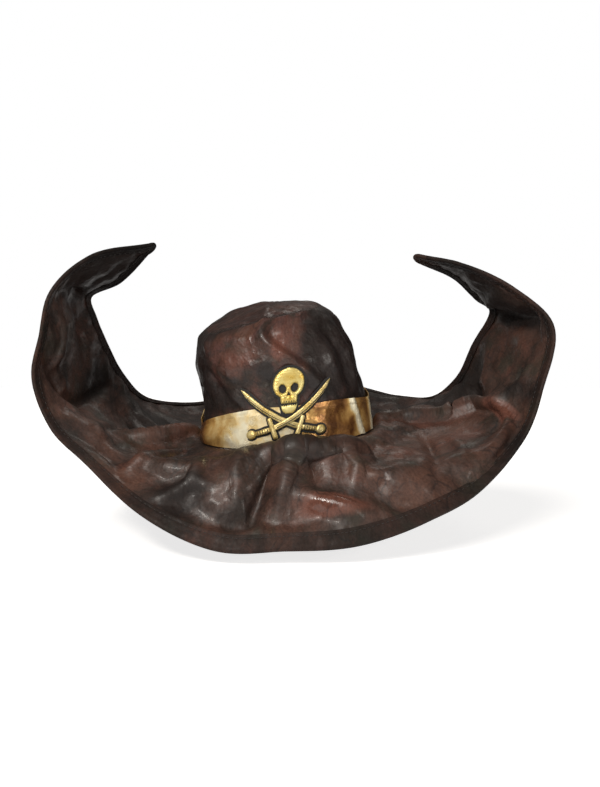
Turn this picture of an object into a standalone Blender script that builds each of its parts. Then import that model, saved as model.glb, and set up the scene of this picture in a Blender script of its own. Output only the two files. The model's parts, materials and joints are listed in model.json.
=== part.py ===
"""Soft costume pirate hat with a wired brim whose two sides are bent up into horns.

The origin is at the middle of the head opening, where the crown is sewn to the brim.
+X points to the wearer's left, +Y to the back of the hat, +Z up.
The brim is drawn flat, with a distance a along its length and a distance b across it,
and every brim piece is then bent into place by brim_point. Lengths are in metres.
"""

import math

import bmesh
import bpy
import numpy as np
from mathutils import Vector

CM = 0.01
MM = 0.001

# Brim stations from the left tip to the right tip, in centimetres: the front edge, the middle
# and the back edge of the finished brim, and how far the crown holds it flat there (0 to 1).
BRIM_STATIONS = (
    ((-15.4, 2.9, 20.9), (-15.6, 3.7, 20.3), (-15.8, 4.5, 19.7), 0.0),
    ((-21.6, -1.6, 19.8), (-20.3, 2.2, 18.3), (-18.9, 6.0, 16.5), 0.0),
    ((-25.9, -3.0, 15.6), (-24.35, 2.0, 15.2), (-22.5, 7.0, 14.6), 0.0),
    ((-26.8, -3.6, 11.4), (-24.4, 2.5, 11.8), (-22.1, 8.6, 12.2), 0.0),
    ((-27.5, -5.0, 6.9), (-24.2, 3.0, 7.6), (-20.9, 11.0, 8.3), 0.0),
    ((-25.2, -8.0, 2.0), (-22.4, 2.0, 3.6), (-19.6, 13.6, 4.9), 0.1),
    ((-20.8, -12.5, -1.1), (-18.9, 0.8, 0.9), (-17.4, 17.0, 1.7), 0.35),
    ((-15.3, -17.0, -5.0), (-14.2, 0.0, -0.4), (-13.4, 21.0, 0.3), 0.7),
    ((-8.0, -20.2, -8.0), (-8.0, 0.0, -0.6), (-7.6, 23.4, 0.4), 1.0),
    ((0.0, -20.6, -8.2), (0.0, 0.0, 0.0), (0.0, 24.0, 0.8), 1.0),
    ((8.0, -20.0, -7.6), (8.0, 0.0, 0.6), (7.6, 23.4, 2.1), 1.0),
    ((14.8, -17.0, -5.8), (14.2, 0.0, 1.1), (13.3, 21.2, 1.2), 0.7),
    ((20.5, -12.5, -3.6), (19.0, 0.8, 1.6), (17.5, 17.0, 1.7), 0.35),
    ((25.2, -8.0, 0.5), (22.7, 2.5, 2.6), (19.9, 13.0, 4.4), 0.1),
    ((27.7, -5.0, 5.8), (24.65, 2.8, 7.3), (21.6, 10.6, 8.8), 0.0),
    ((28.7, -3.6, 12.9), (26.2, 1.8, 13.0), (23.2, 7.2, 13.2), 0.0),
    ((24.6, -2.4, 16.5), (23.0, 1.7, 15.6), (21.4, 5.8, 14.6), 0.0),
    ((19.0, 0.0, 19.0), (18.8, 2.2, 18.1), (18.6, 4.6, 17.2), 0.0),
    ((14.9, 2.6, 19.7), (15.0, 3.4, 19.2), (15.1, 4.2, 18.7), 0.0),
)
LEFT_CREASE, LEFT_SHOULDER, MIDDLE, RIGHT_SHOULDER, RIGHT_CREASE = 2, 4, 9, 14, 15
EDGE_ALLOWANCE = 4.5 * MM  # the cloth layers end this far inside the finished edge
CREASE_GAP = 6 * MM  # between the stiff pieces on the two sides of a crease
CROWN_HOLD = 95 * MM  # the brim stays flat this far in front of and behind its middle line
LEAST_REACH = 40 * MM  # narrower than this the brim is straight across

# Brim layers, edge casing and wire, through the thickness.
LAYER_THICKNESS = 0.7 * MM
LAYER_GAP = 0.4 * MM
HEM_WIDTH = 8 * MM
HEM_SHARE = 0.6  # where the brim narrows, the hem takes at most this share of its reach
TIP_CORNER_WAY = (0.5, 0.9)  # the hem's outward direction where a tip starts to round off
CASING_THICKNESS = 0.7 * MM
# Inside of the casing's fold: distance past the layers' edge, and half its opening.
CASING_SECTION = ((-HEM_WIDTH, 1.7 * MM), (0.4 * MM, 2.4 * MM), (4.2 * MM, 1.7 * MM))
WIRE_RADIUS = 0.75 * MM
WIRE_OFFSET = 2.1 * MM
SLEEVE_LENGTH = 12 * MM
SLEEVE_BORE_RADIUS = 1.05 * MM
SLEEVE_RADIUS = 1.35 * MM
EDGE_STEP = 24 * MM
CROSS_SPANS = 4
BRIM_RINGS = 5
RING_SPREAD = 0.9  # under 1, the rings of faces lie closer together at the head opening
NORMAL_STEP = 1 * MM

# Head opening and crown.
OPENING = (94 * MM, 105 * MM)
SEAM_GAP = 0.3 * MM
SEAM_TUCK = 0.5 * MM  # the brim's layers reach this far under the crown's foot
# Crown rings: height along the side (0 to 1), centre x, height, half width, half depth, slope.
CROWN_RINGS = (
    (0.00, 0 * MM, 0 * MM, 94 * MM, 105 * MM, 0.08),
    (0.30, -1 * MM, 42 * MM, 91 * MM, 102 * MM, 0.10),
    (0.65, -14 * MM, 90 * MM, 85 * MM, 96 * MM, 0.13),
    (0.88, -21 * MM, 120 * MM, 74 * MM, 84 * MM, 0.15),
    (1.00, -14 * MM, 137 * MM, 52 * MM, 64 * MM, 0.08),
)
CROWN_SLANT = 139 * MM
CROWN_TURNS = 40
CROWN_HEIGHTS = (0.0, 0.1, 0.2, 0.3, 0.42, 0.54, 0.65, 0.77, 0.88, 1.0)
CROWN_THICKNESS = 0.8 * MM
TIP_DOME = 11 * MM
TIP_STEPS = 3
PANEL_SHARE = 0.985  # a top panel ends this share of the way out to its wall
CROWN_NORMAL_STEP = 0.01
LINING_RINGS = ((0.004, 1.2 * MM), (0.28, 1.4 * MM), (0.6, 2.5 * MM))  # height share, inset
LINING_THICKNESS = 0.5 * MM
LINING_TOP = 112 * MM
LINING_TOP_CENTRE = -17 * MM
LINING_TOP_RADII = (66 * MM, 78 * MM)
LINING_TURNS = 32
SWEATBAND_HEIGHT = 30 * MM
SWEATBAND_INSET = 3.2 * MM
SWEATBAND_FOOT = 0.01  # height share of its lower edge
SWEATBAND_THICKNESS = 1.0 * MM

# Gold hat band.
BAND_BOTTOM = 2 * MM
BAND_HEIGHT = 43 * MM
BAND_OFFSET = 1.3 * MM
BAND_THICKNESS = 0.8 * MM
PLEAT_ANGLE = math.radians(-32)
PLEAT_WIDTH = math.radians(3)
PLEAT_HEIGHT = 3 * MM
PLEAT_STEP = 0.7  # between the band's columns at the pleat, in pleat widths
PLEAT_COLUMNS = 3  # on each side of its crest

# Emblem, drawn flat: x across the front, h up from the crown seam.
EMBLEM_FIRST = 2.6 * MM  # from the crown's inner face to the backing
EMBLEM_THICKNESS = 0.9 * MM
EMBLEM_STEP = 1.2 * MM
EMBLEM_SLICE = 12 * MM
BACKING_BORDER = 2.6 * MM
SKULL_X, SKULL_H = 3 * MM, 68 * MM
SKULL_RADIUS = 17 * MM
SKULL_STRETCH = 0.93  # the cranium's height by its width
SKULL_ARC = (-38, 218)  # degrees from one cheek over the cranium to the other
SKULL_ARC_STEPS = 18
CHEEK_HALF = 9 * MM
CHEEK_DROP = 13 * MM
TEETH_DROP = 19.5 * MM
TEETH_SHARE = 0.9
EYE_RADIUS = 4 * MM
EYE_SIDE, EYE_DROP, EYE_STRETCH = 6.5 * MM, 4 * MM, 1.1
NOSE_TOP_DROP, NOSE_LOW_DROP, NOSE_HALF = 8.2 * MM, 12.2 * MM, 2 * MM
JAW_HALF = 8.5 * MM
JAW_TOP_DROP, JAW_LOW_DROP = 21 * MM, 30 * MM
JAW_TEETH, JAW_TOOTH_NOTCHES = 4, (0.2 * MM, 1.6 * MM)
JAW_TOOTH_SHARE = 0.8
JAW_CORNER, JAW_CORNER_SHARE, CHIN_SHARE = 2 * MM, 0.75, 0.4
EMBLEM_REACH = (63 * MM, 90 * MM)  # half its width, and its height above the crown seam
SLICE_SHIFT = 0.37 * MM  # keeps the slices off the drawing's own corners
CUTLASS_TIP = (-50 * MM, 66 * MM)
CUTLASS_POMMEL = (43 * MM, 16 * MM)
CUTLASS_SAG = 9 * MM
# Half widths of the cutlass in millimetres along its length, from the point to the pommel.
CUTLASS_PROFILE = (
    (0, 0.4), (7, 2.2), (20, 3.2), (50, 3.4), (72, 3.0), (74, 3.0), (74, 12.0), (78, 12.0),
    (78, 2.6), (91, 2.4), (92, 5.2), (97, 6.0), (102, 5.2), (104, 2.5),
)

LEATHER_BROWN = (0.055, 0.022, 0.016)
LEATHER_DARK = (0.030, 0.016, 0.014)
GOLD_CLOTH = (0.72, 0.47, 0.17)
GOLD_APPLIQUE = (0.80, 0.58, 0.20)
FELT_BLACK = (0.010, 0.009, 0.009)
LINING_BLACK = (0.018, 0.017, 0.018)
SWEAT_BLACK = (0.024, 0.022, 0.022)
STEEL = (0.62, 0.62, 0.63)


def clear_scene():
    """Empties the file's scene."""
    for item in list(bpy.data.objects):
        bpy.data.objects.remove(item, do_unlink=True)


def collection(name):
    """A new collection in the scene."""
    made = bpy.data.collections.new(name)
    bpy.context.scene.collection.children.link(made)
    return made


def material(name, colour, roughness, metallic=0.0):
    """A Principled material of one colour."""
    made = bpy.data.materials.get(name)
    if made:
        return made
    made = bpy.data.materials.new(name)
    made.use_nodes = True
    shader = made.node_tree.nodes["Principled BSDF"]
    shader.inputs["Base Color"].default_value = (*colour, 1.0)
    shader.inputs["Roughness"].default_value = roughness
    shader.inputs["Metallic"].default_value = metallic
    made.diffuse_color = (*colour, 1.0)
    return made


def leather():
    """Glossy distressed brown faux leather."""
    return material("distressed_leather", LEATHER_BROWN, 0.35)


def casing_leather():
    """The darker folded hem of the same faux leather."""
    return material("hem_leather", LEATHER_DARK, 0.35)


def spring_steel():
    """The brim wire and its crimped sleeve."""
    return material("wire_steel", STEEL, 0.35, 1.0)


def gold_cloth():
    """Gold foil cloth."""
    return material("gold_cloth", GOLD_CLOTH, 0.3, 0.7)


def gold_applique():
    """Gold pieces of the emblem."""
    return material("gold_applique", GOLD_APPLIQUE, 0.35, 0.6)


def felt():
    """Black felt under the emblem."""
    return material("black_felt", FELT_BLACK, 0.9)


def lining_cloth():
    """Thin black lining."""
    return material("lining_cloth", LINING_BLACK, 0.85)


def sweatband_cloth():
    """Woven sweatband."""
    return material("sweatband_cloth", SWEAT_BLACK, 0.8)


def station_values():
    """Knots along the brim and the station values as arrays, in metres."""
    front = np.array([s[0] for s in BRIM_STATIONS]) * CM
    middle = np.array([s[1] for s in BRIM_STATIONS]) * CM
    back = np.array([s[2] for s in BRIM_STATIONS]) * CM
    hold = np.array([s[3] for s in BRIM_STATIONS])
    for edge in (front, back):
        reach_out = edge - middle
        edge -= EDGE_ALLOWANCE * reach_out / np.linalg.norm(reach_out, axis=1)[:, None]
    spans = np.linalg.norm(np.diff(middle, axis=0), axis=1)
    knots = np.concatenate([[0.0], np.cumsum(spans)])
    return knots - knots[MIDDLE], front, middle, back, hold


KNOTS, FRONT_EDGE, MIDDLE_LINE, BACK_EDGE, HOLD = station_values()


def spline(values, a):
    """The smooth curve through the station values, read at the distance a."""
    i = int(np.clip(np.searchsorted(KNOTS, a) - 1, 0, len(KNOTS) - 2))
    last = len(KNOTS) - 1

    def slope(j):
        if j == 0:
            return (values[1] - values[0]) / (KNOTS[1] - KNOTS[0])
        if j == last:
            return (values[j] - values[j - 1]) / (KNOTS[j] - KNOTS[j - 1])
        before, after = KNOTS[j] - KNOTS[j - 1], KNOTS[j + 1] - KNOTS[j]
        rise_before = (values[j] - values[j - 1]) / before
        rise_after = (values[j + 1] - values[j]) / after
        return (rise_before * after + rise_after * before) / (before + after)

    span = KNOTS[i + 1] - KNOTS[i]
    t = (a - KNOTS[i]) / span
    if t < 0:
        return values[i] + slope(i) * (a - KNOTS[i])
    if t > 1:
        return values[i + 1] + slope(i + 1) * (a - KNOTS[i + 1])
    start = values[i] * (1 + 2 * t) * (1 - t) ** 2 + slope(i) * span * t * (1 - t) ** 2
    end = values[i + 1] * t * t * (3 - 2 * t) + slope(i + 1) * span * t * t * (t - 1)
    return start + end


def reach(a):
    """How far the brim reaches to the front and to the back of its middle line."""
    middle = spline(MIDDLE_LINE, a)
    front = np.linalg.norm(spline(FRONT_EDGE, a) - middle)
    back = np.linalg.norm(spline(BACK_EDGE, a) - middle)
    return front, back


def brim_point(a, b, rise=0.0):
    """The bent place of the flat point (a, b), raised along the brim's upward normal."""
    inside = min(max(a, KNOTS[0]), KNOTS[-1])
    past = spline(MIDDLE_LINE, a) - spline(MIDDLE_LINE, inside)
    middle = spline(MIDDLE_LINE, inside) + past
    front, back = spline(FRONT_EDGE, inside) + past, spline(BACK_EDGE, inside) + past
    hold = spline(HOLD, inside)
    to_front, to_back = np.linalg.norm(front - middle), np.linalg.norm(back - middle)
    across = (back - front) / np.linalg.norm(back - front)
    across = across * (1 - hold) + np.array([0.0, 1.0, 0.0]) * hold
    across /= np.linalg.norm(across)
    flat = CROWN_HOLD * hold
    droop = (front - middle + to_front * across) / max(to_front - flat, LEAST_REACH) ** 2
    lift = (back - middle - to_back * across) / max(to_back - flat, LEAST_REACH) ** 2
    place = middle + b * across
    place = place + droop * max(0.0, -b - flat) ** 2 + lift * max(0.0, b - flat) ** 2
    if rise:
        place = place + rise * brim_normal(a, b)
    return place


def brim_normal(a, b):
    """The brim's upward unit normal."""
    along = brim_point(a + NORMAL_STEP, b) - brim_point(a - NORMAL_STEP, b)
    across = brim_point(a, b + NORMAL_STEP) - brim_point(a, b - NORMAL_STEP)
    normal = np.cross(along, across)
    return normal / np.linalg.norm(normal)


def ring_values(v):
    """Crown ring at the height share v: centre x, height, half width, half depth, slope."""
    table = np.array(CROWN_RINGS)
    return [np.interp(v, table[:, 0], table[:, k]) for k in range(1, table.shape[1])]


def crown_ring_point(turn, v):
    """A point of the crown's free shape, before its base is sewn to the brim."""
    centre, height, half_width, half_depth, slope = ring_values(v)
    x = centre + half_width * math.cos(turn)
    return np.array([x, half_depth * math.sin(turn), height + slope * (x - centre)])


def crown_point(turn, v, out=0.0):
    """A point of the crown side's inner face, moved out along its normal."""
    above_brim = LAYER_GAP / 2 + LAYER_THICKNESS + SEAM_GAP
    place = crown_ring_point(turn, v)
    seam = CROWN_RINGS[1][0]
    if v < seam:
        a, b = OPENING[0] * math.cos(turn), OPENING[1] * math.sin(turn)
        sewn = brim_point(a, b, above_brim) - crown_ring_point(turn, 0.0)
        place = place + sewn * (1 - v / seam) ** 2
    if out:
        step = CROWN_NORMAL_STEP
        around = crown_ring_point(turn + step, v) - crown_ring_point(turn - step, v)
        up = crown_ring_point(turn, min(v + step, 1.0)) - crown_ring_point(turn, max(v - step, 0.0))
        normal = np.cross(around, up)
        place = place + out * normal / np.linalg.norm(normal)
    return place


def mesh_object(name, points, faces, look, where):
    """A new mesh object from points and faces."""
    mesh = bpy.data.meshes.new(name)
    mesh.from_pydata([tuple(map(float, p)) for p in points], [], faces)
    mesh.validate()
    mesh.materials.append(look)
    made = bpy.data.objects.new(name, mesh)
    where.objects.link(made)
    mesh.shade_smooth()
    mesh.set_sharp_from_angle(angle=math.radians(40))
    return made


def grid_faces(rows, columns, first=0, closed=False):
    """Quads of a grid of points stored row by row, joined round its columns when closed."""
    faces = []
    for r in range(rows - 1):
        for c in range(columns if closed else columns - 1):
            low = first + r * columns
            high = low + columns
            after = (c + 1) % columns
            faces.append((low + c, low + after, high + after, high + c))
    return faces


def hem_diagonals(faces, edge, inner):
    """Turns each quad along a hem so that it splits from an edge point to the next inner point.

    The brim layers and the casing round them share these splits, so their facets stay parallel.
    """
    wanted = {frozenset(pair) for pair in zip(edge, inner[1:])}
    kept = []
    for face in faces:
        turned = len(face) == 4 and frozenset((face[1], face[3])) in wanted
        kept.append(face[1:] + face[:1] if turned else face)
    return kept


def thicken(item, thickness, side):
    """Turns an open surface into a solid. side is 1 along its normals, -1 against them."""
    shell = item.modifiers.new("thickness", "SOLIDIFY")
    shell.thickness = thickness
    shell.offset = side
    return item


def soft_strip(name, rows, look, where, thickness, side, closed=True):
    """A thick cloth surface lofted through rows of points."""
    points = [p for row in rows for p in row]
    faces = grid_faces(len(rows), len(rows[0]), closed=closed)
    return thicken(mesh_object(name, points, faces, look, where), thickness, side)


# ---- the brim's edge, drawn flat ----


def edge_run(start, end, side):
    """Samples along one edge of the brim from a=start to a=end: flat points and outward directions.

    side is -1 for the front edge and 1 for the back edge. At both ends the outward direction
    lies across the brim, so that pieces on the two sides of a crease end face to face.
    """
    def edge(a):
        return side * reach(a)[0 if side < 0 else 1]

    count = max(2, round(abs(end - start) / EDGE_STEP))
    points, outward = [], []
    for i in range(count + 1):
        a = start + (end - start) * i / count
        slope = (edge(a + MM) - edge(a - MM)) / (2 * MM)
        steep = math.sqrt(1 + slope * slope)
        points.append(np.array([a, edge(a)]))
        if i in (0, count):
            outward.append(np.array([0.0, side * steep]))
        else:
            outward.append(np.array([-side * slope, side]) / steep)
    return points, outward


def tip_run(start, end):
    """The tip's edge: front edge from the crease, round the point, and back to the crease."""
    outward_way = 1 if end > start else -1
    front, front_out = edge_run(start, end, -1)
    back, back_out = edge_run(start, end, 1)
    half = (reach(end)[0] + reach(end)[1]) / 2
    centre = np.array([end, (front[-1][1] + back[-1][1]) / 2])
    point, point_out = [], []
    for i in range(1, 4):
        turn = -math.pi / 2 + math.pi * i / 4
        way = np.array([outward_way * math.cos(turn), math.sin(turn)])
        point.append(centre + half * way)
        point_out.append(way)
    along, across = TIP_CORNER_WAY
    front_out[-1] = np.array([outward_way * along, -across])
    back_out[-1] = np.array([outward_way * along, across])
    points = front + point + back[::-1]
    outward = front_out + point_out + back_out[::-1]
    return points, outward, len(front)


def hem_inset(a, width):
    """How far the hem reaches in from the edge, less where the brim narrows to its point."""
    return min(width, HEM_SHARE * min(reach(a)))


def inset_points(points, outward):
    """The flat points where the hem ends, inside the edge."""
    return [p - hem_inset(p[0], HEM_WIDTH) * out for p, out in zip(points, outward)]


def bent(flat, rise):
    """The bent places of flat points, raised by rise."""
    return [brim_point(p[0], p[1], rise) for p in flat]


def cross_line(front, back, spans):
    """Flat points between a front point and a back point, without those two."""
    return [front + (back - front) * j / spans for j in range(1, spans)]


def centre_rows(start, end):
    """Loops of flat points from the hem's inner line in to the head opening, and the two hems."""
    front, front_out = edge_run(start, end, -1)
    back, back_out = edge_run(end, start, 1)
    front_in, back_in = inset_points(front, front_out), inset_points(back, back_out)
    right = cross_line(front_in[-1], back_in[0], CROSS_SPANS)
    left = cross_line(back_in[-1], front_in[0], CROSS_SPANS)
    loop = front_in + right + back_in + left
    opening = (OPENING[0] - SEAM_TUCK, OPENING[1] - SEAM_TUCK)
    rows = []
    for ring in range(BRIM_RINGS + 1):
        share = (ring / BRIM_RINGS) ** RING_SPREAD
        row = []
        for p in loop:
            turn = math.atan2(p[1] / opening[1], p[0] / opening[0])
            inner = np.array([opening[0] * math.cos(turn), opening[1] * math.sin(turn)])
            row.append(p + (inner - p) * share)
        rows.append(row)
    return rows, front, back


def brim_centre_layer(name, look, where, side, start, end):
    """The middle part of one brim layer, round the head opening."""
    rows, front, back = centre_rows(start, end)
    flat = [p for row in rows for p in row]
    columns = len(rows[0])
    faces = grid_faces(len(rows), columns, closed=True)
    first_back = len(front) + CROSS_SPANS - 1
    for hem, first in ((front, 0), (back, first_back)):
        base = len(flat)
        flat += hem
        for i in range(len(hem) - 1):
            faces.append((base + i, base + i + 1, first + i + 1, first + i))
        edge = range(base, base + len(hem))
        faces = hem_diagonals(faces, edge, range(first, first + len(hem)))
    points = bent(flat, side * LAYER_GAP / 2)
    return thicken(mesh_object(name, points, faces, look, where), LAYER_THICKNESS, side)


def brim_arm_layer(name, look, where, side, start, end):
    """One brim layer between the shoulder crease and the tip crease."""
    front, front_out = edge_run(start, end, -1)
    back, back_out = edge_run(start, end, 1)
    front_in, back_in = inset_points(front, front_out), inset_points(back, back_out)
    flat = []
    for f, fi, bi, b in zip(front, front_in, back_in, back):
        flat += [f, fi, *cross_line(fi, bi, CROSS_SPANS), bi, b]
    columns = CROSS_SPANS + 3
    faces = grid_faces(len(front), columns)
    if end > start:
        faces = [face[::-1] for face in faces]
    faces = hem_diagonals(faces, range(0, len(flat), columns), range(1, len(flat), columns))
    last = columns - 1
    faces = hem_diagonals(faces, range(last, len(flat), columns), range(last - 1, len(flat), columns))
    points = bent(flat, side * LAYER_GAP / 2)
    return thicken(mesh_object(name, points, faces, look, where), LAYER_THICKNESS, side)


def brim_tip_layer(name, look, where, side, start, end):
    """One brim layer from the tip crease to the point."""
    edge, outward, count = tip_run(start, end)
    inner = inset_points(edge, outward)
    flat = []
    for i in range(count):
        j = len(edge) - 1 - i
        flat += [edge[i], inner[i], *cross_line(inner[i], inner[j], CROSS_SPANS), inner[j], edge[j]]
    columns = CROSS_SPANS + 3
    faces = grid_faces(count, columns)
    base = len(flat)
    last = (count - 1) * columns
    flat += edge[count:count + 3] + inner[count:count + 3]
    outer_loop = [last, base, base + 1, base + 2, last + columns - 1]
    inner_loop = [last + 1, base + 3, base + 4, base + 5, last + columns - 2]
    for k in range(4):
        faces.append((outer_loop[k], inner_loop[k], inner_loop[k + 1], outer_loop[k + 1]))
    rim = [last + 1 + k for k in range(columns - 2)]
    faces.append(tuple(rim + [base + 5, base + 4, base + 3]))
    if end > start:
        faces = [face[::-1] for face in faces]
    front_edge = list(range(0, base, columns))
    back_edge = list(range(columns - 1, base, columns))[::-1]
    edge_chain = front_edge + [base, base + 1, base + 2] + back_edge
    inner_chain = [k + 1 for k in front_edge] + [base + 3, base + 4, base + 5] + [k - 1 for k in back_edge]
    faces = hem_diagonals(faces, edge_chain, inner_chain)
    points = bent(flat, side * LAYER_GAP / 2)
    return thicken(mesh_object(name, points, faces, look, where), LAYER_THICKNESS, side)


def casing(name, look, where, points, outward, flip):
    """The folded hem round an edge: a U section lofted along the edge samples."""
    top = list(CASING_SECTION)
    section = top + [(out, -rise) for out, rise in reversed(top)]
    rows = []
    for p, way in zip(points, outward):
        row = []
        for out, rise in section:
            reach_out = -hem_inset(p[0], -out) if out < 0 else out
            at = p + reach_out * way
            row.append(brim_point(at[0], at[1], rise))
        rows.append(row)
    faces = grid_faces(len(rows), len(section))
    if flip:
        faces = [face[::-1] for face in faces]
    count = len(rows) * len(section)
    for inner in (0, len(section) - 1):
        edge = inner + 1 if inner == 0 else inner - 1
        faces = hem_diagonals(
            faces, range(edge, count, len(section)), range(inner, count, len(section))
        )
    flat = [p for row in rows for p in row]
    return thicken(mesh_object(name, flat, faces, look, where), CASING_THICKNESS, 1)


def wire(name, look, where, points, outward):
    """Brim wire inside the casing."""
    path = [p + WIRE_OFFSET * way for p, way in zip(points, outward)]
    curve = bpy.data.curves.new(name, "CURVE")
    curve.dimensions = "3D"
    curve.bevel_depth = WIRE_RADIUS
    curve.bevel_resolution = 2
    curve.use_fill_caps = True
    line = curve.splines.new("POLY")
    line.points.add(len(path) - 1)
    for knot, p in zip(line.points, path):
        knot.co = (*brim_point(p[0], p[1]), 1.0)
    curve.materials.append(look)
    made = bpy.data.objects.new(name, curve)
    where.objects.link(made)
    return made


def wire_sleeve(look, where, points, outward):
    """The crimped tube on the back wire that joins its two ends."""
    k = len(points) // 2
    ends = []
    for i in (k - 1, k):
        p = points[i] + WIRE_OFFSET * outward[i]
        ends.append(Vector(brim_point(p[0], p[1])))
    along = (ends[1] - ends[0]).normalized()
    profile = bmesh.new()
    ring = [
        (SLEEVE_RADIUS, SLEEVE_LENGTH / 2),
        (SLEEVE_RADIUS, -SLEEVE_LENGTH / 2),
        (SLEEVE_BORE_RADIUS, -SLEEVE_LENGTH / 2),
        (SLEEVE_BORE_RADIUS, SLEEVE_LENGTH / 2),
    ]
    corners = [profile.verts.new((r, 0.0, z)) for r, z in ring]
    for i, corner in enumerate(corners):
        profile.edges.new((corner, corners[(i + 1) % len(corners)]))
    mesh = bpy.data.meshes.new("wire_sleeve")
    profile.to_mesh(mesh)
    profile.free()
    mesh.materials.append(look)
    made = bpy.data.objects.new("wire_sleeve", mesh)
    where.objects.link(made)
    turn = made.modifiers.new("turn", "SCREW")
    turn.steps = turn.render_steps = 12
    turn.use_merge_vertices = True
    turn.merge_threshold = 0.00001
    made.location = (ends[0] + ends[1]) / 2
    made.rotation_euler = along.to_track_quat("Z", "Y").to_euler()
    return made


# ---- the crown ----


def turns(count):
    """Evenly spaced turns round the crown."""
    return [2 * math.pi * i / count for i in range(count)]


def crown_side(look, where):
    """The tall wall of the crown."""
    rows = []
    for v in CROWN_HEIGHTS:
        rows.append([crown_point(turn, v) for turn in turns(CROWN_TURNS)])
    return soft_strip("crown_side", rows, look, where, CROWN_THICKNESS, 1)


def domed_disc(name, look, where, rim, centre, steps, dome, thickness, side):
    """A panel closed to its middle, with the given rim and rise."""
    points, count = [], len(rim)
    for i in range(steps):
        share = i / steps
        for p in rim:
            at = p + (centre - p) * share
            points.append(at + np.array([0.0, 0.0, dome * (1 - (1 - share) ** 2)]))
    faces = grid_faces(steps, count, closed=True)
    points.append(centre + np.array([0.0, 0.0, dome]))
    last = (steps - 1) * count
    for c in range(count):
        faces.append((last + c, last + (c + 1) % count, len(points) - 1))
    return thicken(mesh_object(name, points, faces, look, where), thickness, side)


def crown_tip(look, where):
    """The soft top panel."""
    centre_x, height, half_width, half_depth, slope = ring_values(1.0)
    rim = []
    for turn in turns(CROWN_TURNS):
        x = half_width * PANEL_SHARE * math.cos(turn)
        y = half_depth * PANEL_SHARE * math.sin(turn)
        rim.append(np.array([centre_x + x, y, height + slope * x]))
    centre = np.array([centre_x, 0.0, height])
    return domed_disc("crown_tip", look, where, rim, centre, TIP_STEPS, TIP_DOME, CROWN_THICKNESS, 1)


def crown_lining_side(look, where):
    """The lining's wall, close to the crown and drawn in to its flat top."""
    rows = []
    for v, inset in LINING_RINGS:
        rows.append([crown_point(turn, v, -inset) for turn in turns(LINING_TURNS)])
    top = []
    for turn in turns(LINING_TURNS):
        x = LINING_TOP_CENTRE + LINING_TOP_RADII[0] * math.cos(turn)
        top.append(np.array([x, LINING_TOP_RADII[1] * math.sin(turn), LINING_TOP]))
    rows.append(top)
    return soft_strip("crown_lining_side", rows, look, where, LINING_THICKNESS, -1)


def crown_lining_tip(look, where):
    """The lining's flat top panel."""
    centre = np.array([LINING_TOP_CENTRE, 0.0, LINING_TOP])
    rim = []
    for turn in turns(LINING_TURNS):
        out = np.array([math.cos(turn) * LINING_TOP_RADII[0], math.sin(turn) * LINING_TOP_RADII[1], 0.0])
        rim.append(centre + PANEL_SHARE * out)
    return domed_disc("crown_lining_tip", look, where, rim, centre, 1, 0.0, LINING_THICKNESS, 1)


def sweatband(look, where):
    """The band inside the head opening."""
    rows = []
    for share in (0.0, 0.5, 1.0):
        v = SWEATBAND_FOOT + share * SWEATBAND_HEIGHT / CROWN_SLANT
        rows.append([crown_point(turn, v, -SWEATBAND_INSET) for turn in turns(CROWN_TURNS)])
    return soft_strip("sweatband", rows, look, where, SWEATBAND_THICKNESS, -1)


def band_turns():
    """Turns round the band, closer together at its pleat."""
    plain = [turn for turn in turns(CROWN_TURNS) if turn <= math.pi]
    plain += [turn - 2 * math.pi for turn in turns(CROWN_TURNS) if turn > math.pi]
    clear = (PLEAT_COLUMNS + 1.5) * PLEAT_STEP * PLEAT_WIDTH
    kept = [turn for turn in plain if abs(turn - PLEAT_ANGLE) > clear]
    fold = []
    for k in range(-PLEAT_COLUMNS, PLEAT_COLUMNS + 1):
        fold.append(PLEAT_ANGLE + PLEAT_WIDTH * PLEAT_STEP * k)
    return sorted(kept + fold)


def hat_band(look, where):
    """The gold band round the crown, with one upright pleat."""
    rows = []
    bottom, top = BAND_BOTTOM / CROWN_SLANT, (BAND_BOTTOM + BAND_HEIGHT) / CROWN_SLANT
    for v in (bottom, *[height for height in CROWN_HEIGHTS if bottom < height < top], top):
        row = []
        for turn in band_turns():
            fold = math.exp(-(((turn - PLEAT_ANGLE) / PLEAT_WIDTH) ** 2))
            row.append(crown_point(turn, v, BAND_OFFSET + PLEAT_HEIGHT * fold))
        rows.append(row)
    return soft_strip("hat_band", rows, look, where, BAND_THICKNESS, 1)


# ---- the emblem, drawn flat and then bent on to the crown ----


def skull_outline(grow):
    """The cranium with its cheeks and upper jaw."""
    first, last = SKULL_ARC
    radius = SKULL_RADIUS + grow
    outline = []
    for i in range(SKULL_ARC_STEPS + 1):
        turn = math.radians(first + (last - first) * i / SKULL_ARC_STEPS)
        high = radius * SKULL_STRETCH * math.sin(turn)
        outline.append((SKULL_X + radius * math.cos(turn), SKULL_H + high))
    cheek = CHEEK_HALF + grow
    low = SKULL_H - TEETH_DROP - grow
    outline.append((SKULL_X - cheek, SKULL_H - CHEEK_DROP))
    outline.append((SKULL_X - cheek * TEETH_SHARE, low))
    outline.append((SKULL_X + cheek * TEETH_SHARE, low))
    outline.append((SKULL_X + cheek, SKULL_H - CHEEK_DROP))
    return outline


def oval(x, h, half_width, half_height, count=10):
    """An oval hole, wound against its outline."""
    hole = []
    for i in range(count):
        turn = -2 * math.pi * i / count
        hole.append((x + half_width * math.cos(turn), h + half_height * math.sin(turn)))
    return hole


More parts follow.
